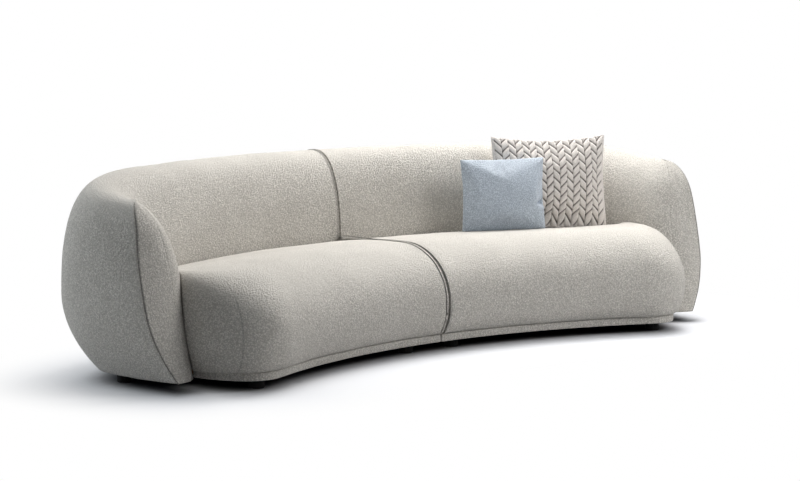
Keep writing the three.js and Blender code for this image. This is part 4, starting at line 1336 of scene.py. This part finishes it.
@dataclass
class Underside:
    """The dust covers and the seat webbing."""

    finishes: Finishes

    def build(self) -> None:
        """Replaces the plain cloth and webbing of both modules."""
        for side in Side:
            self._cover(side)
            self._webbing(side)

    def _cover(self, side: Side) -> None:
        """A thin cloth drawn over the board's underside, with slight ripples between its staples."""
        node = f"{side.prefix}_dust_cover"
        made = self._copy(node, f"{side.prefix}_dust_cloth", 3)
        points = coordinates(made)
        low, high = points[:, 2].min(), points[:, 2].max()
        ripple = (waves(points, 0.16, 5, 2) * 0.5 + 0.5) * 0.0012
        points[:, 2] = mix(high - 0.0005, high - 0.0001, (points[:, 2] - low) / (high - low)) - ripple
        move_vertices(made, points)
        self.finishes.dress(made, side.body, node, "black_cloth")
        area = self._flat_area(made)

    def _webbing(self, side: Side) -> None:
        """The straps with their selvedges, a little slack between the rails."""
        node = f"{side.prefix}_seat_webbing"
        made = self._copy(node, f"{side.prefix}_seat_straps", 2)
        points = coordinates(made)
        points[:, 2] -= (waves(points, 0.3, 9, 1) * 0.5 + 0.5) * 0.0002
        move_vertices(made, points)
        self.finishes.dress(made, side.body, node, "webbing")

    def _copy(self, node: str, name: str, cuts: int) -> bpy.types.Object:
        """A copy of a CAD node's mesh with finer faces."""
        made = bpy.data.objects.new(name, frame["nodes"][node].data.copy())
        bpy.context.scene.collection.objects.link(made)
        modify(made, "SUBSURF", subdivision_type="SIMPLE", levels=cuts, render_levels=cuts)
        return made

    def _flat_area(self, made: bpy.types.Object) -> float:
        """Half the area of a thin closed sheet."""
        area = np.empty(len(made.data.polygons), np.float32)
        made.data.polygons.foreach_get("area", area)
        return float(area.sum() / 2)


# Light, floor and camera


@dataclass(frozen=True)
class Softbox:
    """An area light.

    Args:
        name: object name.
        spot: place, in metres.
        aim: the point it faces.
        size: width and height, in metres.
        power: watts.
        colour: light colour.
    """

    name: str
    spot: tuple[float, float, float]
    aim: tuple[float, float, float]
    size: tuple[float, float]
    power: float
    colour: tuple[float, float, float] = (1.0, 1.0, 1.0)

    def build(self) -> None:
        """Adds the light."""
        data = bpy.data.lights.new(self.name, "AREA")
        data.shape = "RECTANGLE"
        data.size, data.size_y = self.size
        data.energy = self.power
        data.color = self.colour
        lamp = bpy.data.objects.new(self.name, data)
        lamp.location = self.spot
        lamp.rotation_euler = (Vector(self.aim) - Vector(self.spot)).to_track_quat("-Z", "Y").to_euler()
        bpy.context.scene.collection.objects.link(lamp)


class Studio:
    """White floor and sky, painted shadow on the floor under the sofa, soft light from above and the right,
    and the photograph's camera.
    """

    LIGHTS = (
        Softbox("top_right", (1.6, 0.5, 3.2), (0.0, 0.0, 0.4), (2.0, 2.0), 108.0, (1.0, 0.975, 0.94)),
        Softbox("top_left", (-0.6, 1.0, 3.6), (0.0, 0.0, 0.4), (2.2, 2.2), 36.0, (1.0, 0.99, 0.98)),
        Softbox("side", (3.3, 0.0, 4.8), (0.0, 0.0, 0.4), (2.8, 2.8), 56.0, (1.0, 0.98, 0.95)),
        Softbox("front_right", (2.7, -2.6, 1.4), (0.0, 0.0, 0.4), (1.6, 1.6), 12.0, (1.0, 0.985, 0.96)),
        Softbox("front_high", (1.4, -2.8, 2.2), (0.0, 0.0, 0.4), (1.6, 1.6), 38.0),
        Softbox("rim", (-4.16, 3.33, 1.79), (0.0, 0.0, 0.4), (2.8, 2.8), 80.0, (0.90, 0.96, 1.0)),
    )

    def build(self) -> None:
        """Sets up the stage."""
        self._floor()
        self._sky()
        for light in self.LIGHTS:
            light.build()
        self._camera()
        bpy.context.scene.view_settings.view_transform = "Standard"

    def _outline(self) -> Array:
        """The line round what stands over the floor, of both modules, as one closed run of points."""
        wall = Wall()
        u, _, _ = wall.stations()
        shell = wall.points()
        front = FRONT.offset(np.linspace(0, 0.93, 80), Upholstery.STRIP_BACK)
        half = np.concatenate([front, shell[u > 0.95, 0, :2], shell[::-2, -1, :2]])
        return np.concatenate([half, half[::-1] * [-1, 1]]) - [0, SHIFT_Y]

    def _overhang(self, spots: Array) -> Array:
        """Distance of each spot from the outline, negative inside it by the crossing rule."""
        line = self._outline()
        apart = np.linalg.norm(spots[:, None] - line[None], axis=-1).min(1)
        (x0, y0), (x1, y1) = line.T, np.roll(line, -1, axis=0).T
        x, y = spots[:, :1], spots[:, 1:]
        slope = (x1 - x0) / np.where(y1 == y0, 1.0, y1 - y0)
        crossed = ((y0 > y) != (y1 > y)) & (x < x0 + slope * (y - y0))
        return np.where(crossed.sum(1) % 2 == 1, -apart, apart)

    def _floor(self) -> None:
        """A large plain floor that keeps the sofa's shadow, with painted shadow added under and round the
        sofa.

        Two values are stored on it: how open it is, which falls to nought well under the sofa, where the
        camera sees the floor painted near black, and how white the camera sees it, which is full away from
        the sofa. Both go slower on the right, where the shadow is wider.
        """
        x, y = np.meshgrid(
            np.concatenate([[-40.0], np.linspace(-2.4, 2.4, 161), [40.0]]),
            np.concatenate([[-40.0], np.linspace(-1.6, 1.6, 107), [40.0]]), indexing="ij",
        )
        floor = Skin("floor", np.stack([x, y, np.zeros_like(x)], -1), wrap=False, caps=False).build()
        away = self._overhang(np.stack([x, y], -1).reshape(-1, 2))
        right = eased(x.ravel(), 0.6, 1.4)
        clear_of_painted_shadow = eased(away, -0.14, 0.08) ** (1.3 + 0.5 * right)
        white = smooth((away + 0.08 - 0.04 * right) / mix(0.6, 0.74, right))
        for name, value in {"open": clear_of_painted_shadow, "white": white}.items():
            store(floor, name, value)
        material = bpy.data.materials.new("floor")
        material.use_nodes = True
        graph = Graph(material.node_tree)
        seen = graph.seen()
        # Painted shadow: to the camera the floor runs from this near black under the sofa to its pale colour
        # in the open.
        shaded = graph.blend(graph.attribute("open"), (0.02, 0.02, 0.03, 1.0), (0.92, 0.94, 0.99, 1.0))
        colour = graph.blend(seen, (0.58, 0.585, 0.60, 1.0), shaded)
        matt = graph.node("ShaderNodeBsdfDiffuse", None, {"Color": colour, "Roughness": 0.0})
        plain = graph.node("ShaderNodeEmission", None, {"Color": (1.0, 1.0, 1.0, 1.0), "Strength": 1.0})
        both = graph.node("ShaderNodeMixShader", None, {0: seen * graph.attribute("white")})
        graph.tree.links.new(matt.outputs[0], both.inputs[1])
        graph.tree.links.new(plain.outputs[0], both.inputs[2])
        output = graph.node("ShaderNodeOutputMaterial")
        graph.tree.links.new(both.outputs[0], output.inputs["Surface"])
        floor.data.materials.append(material)

    def _sky(self) -> None:
        """White to the camera; for light it is cool and comes from behind on the left.

        Strength: 0.04 + 0.36 max(0, d . v) over the direction d.
        """
        world = bpy.data.worlds.new("sky")
        bpy.context.scene.world = world
        world.use_nodes = True
        graph = Graph(world.node_tree)
        spot = graph.node("ShaderNodeTexCoord")
        sockets = {0: Wire(graph, spot.outputs["Generated"]), 1: (-0.7, 0.7, 0.15)}
        level = graph.vector_math("DOT_PRODUCT", sockets, "Value").highest(0.0) * 0.36 + 0.04
        lit = graph.node("ShaderNodeBackground", None, {"Color": (0.90, 0.96, 1.0, 1.0), "Strength": level})
        white = graph.node("ShaderNodeBackground", None, {"Color": (1.0, 1.0, 1.0, 1.0), "Strength": 1.0})
        choose = graph.node("ShaderNodeMixShader", None, {0: graph.seen()})
        graph.tree.links.new(lit.outputs[0], choose.inputs[1])
        graph.tree.links.new(white.outputs[0], choose.inputs[2])
        output = graph.node("ShaderNodeOutputWorld")
        graph.tree.links.new(choose.outputs[0], output.inputs["Surface"])

    def _camera(self) -> None:
        """The photograph's view: 41 degrees to the left of the front, 6 degrees down."""
        data = bpy.data.cameras.new("camera")
        data.sensor_fit = "HORIZONTAL"
        data.sensor_width = 36.0
        data.lens = 2300.0 / 800.0 * 36.0
        data.clip_end = 200.0
        camera = bpy.data.objects.new("camera", data)
        camera.location = (-6.1456, -6.7279 - SHIFT_Y, 1.4733)
        camera.rotation_euler = (pi / 2 - 0.1124, 0.0, -0.7234)
        bpy.context.scene.collection.objects.link(camera)
        bpy.context.scene.camera = camera


def main() -> None:
    """Builds the whole scene."""
    logging.basicConfig(level=logging.INFO)
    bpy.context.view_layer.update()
    finishes = Finishes().build()
    finishes.paint_nodes()
    seat = Upholstery(finishes).build()
    LooseCushions(finishes).build(seat)
    Underside(finishes).build()
    Studio().build()
    bpy.context.view_layer.update()


if __name__ == "__main__":
    main()
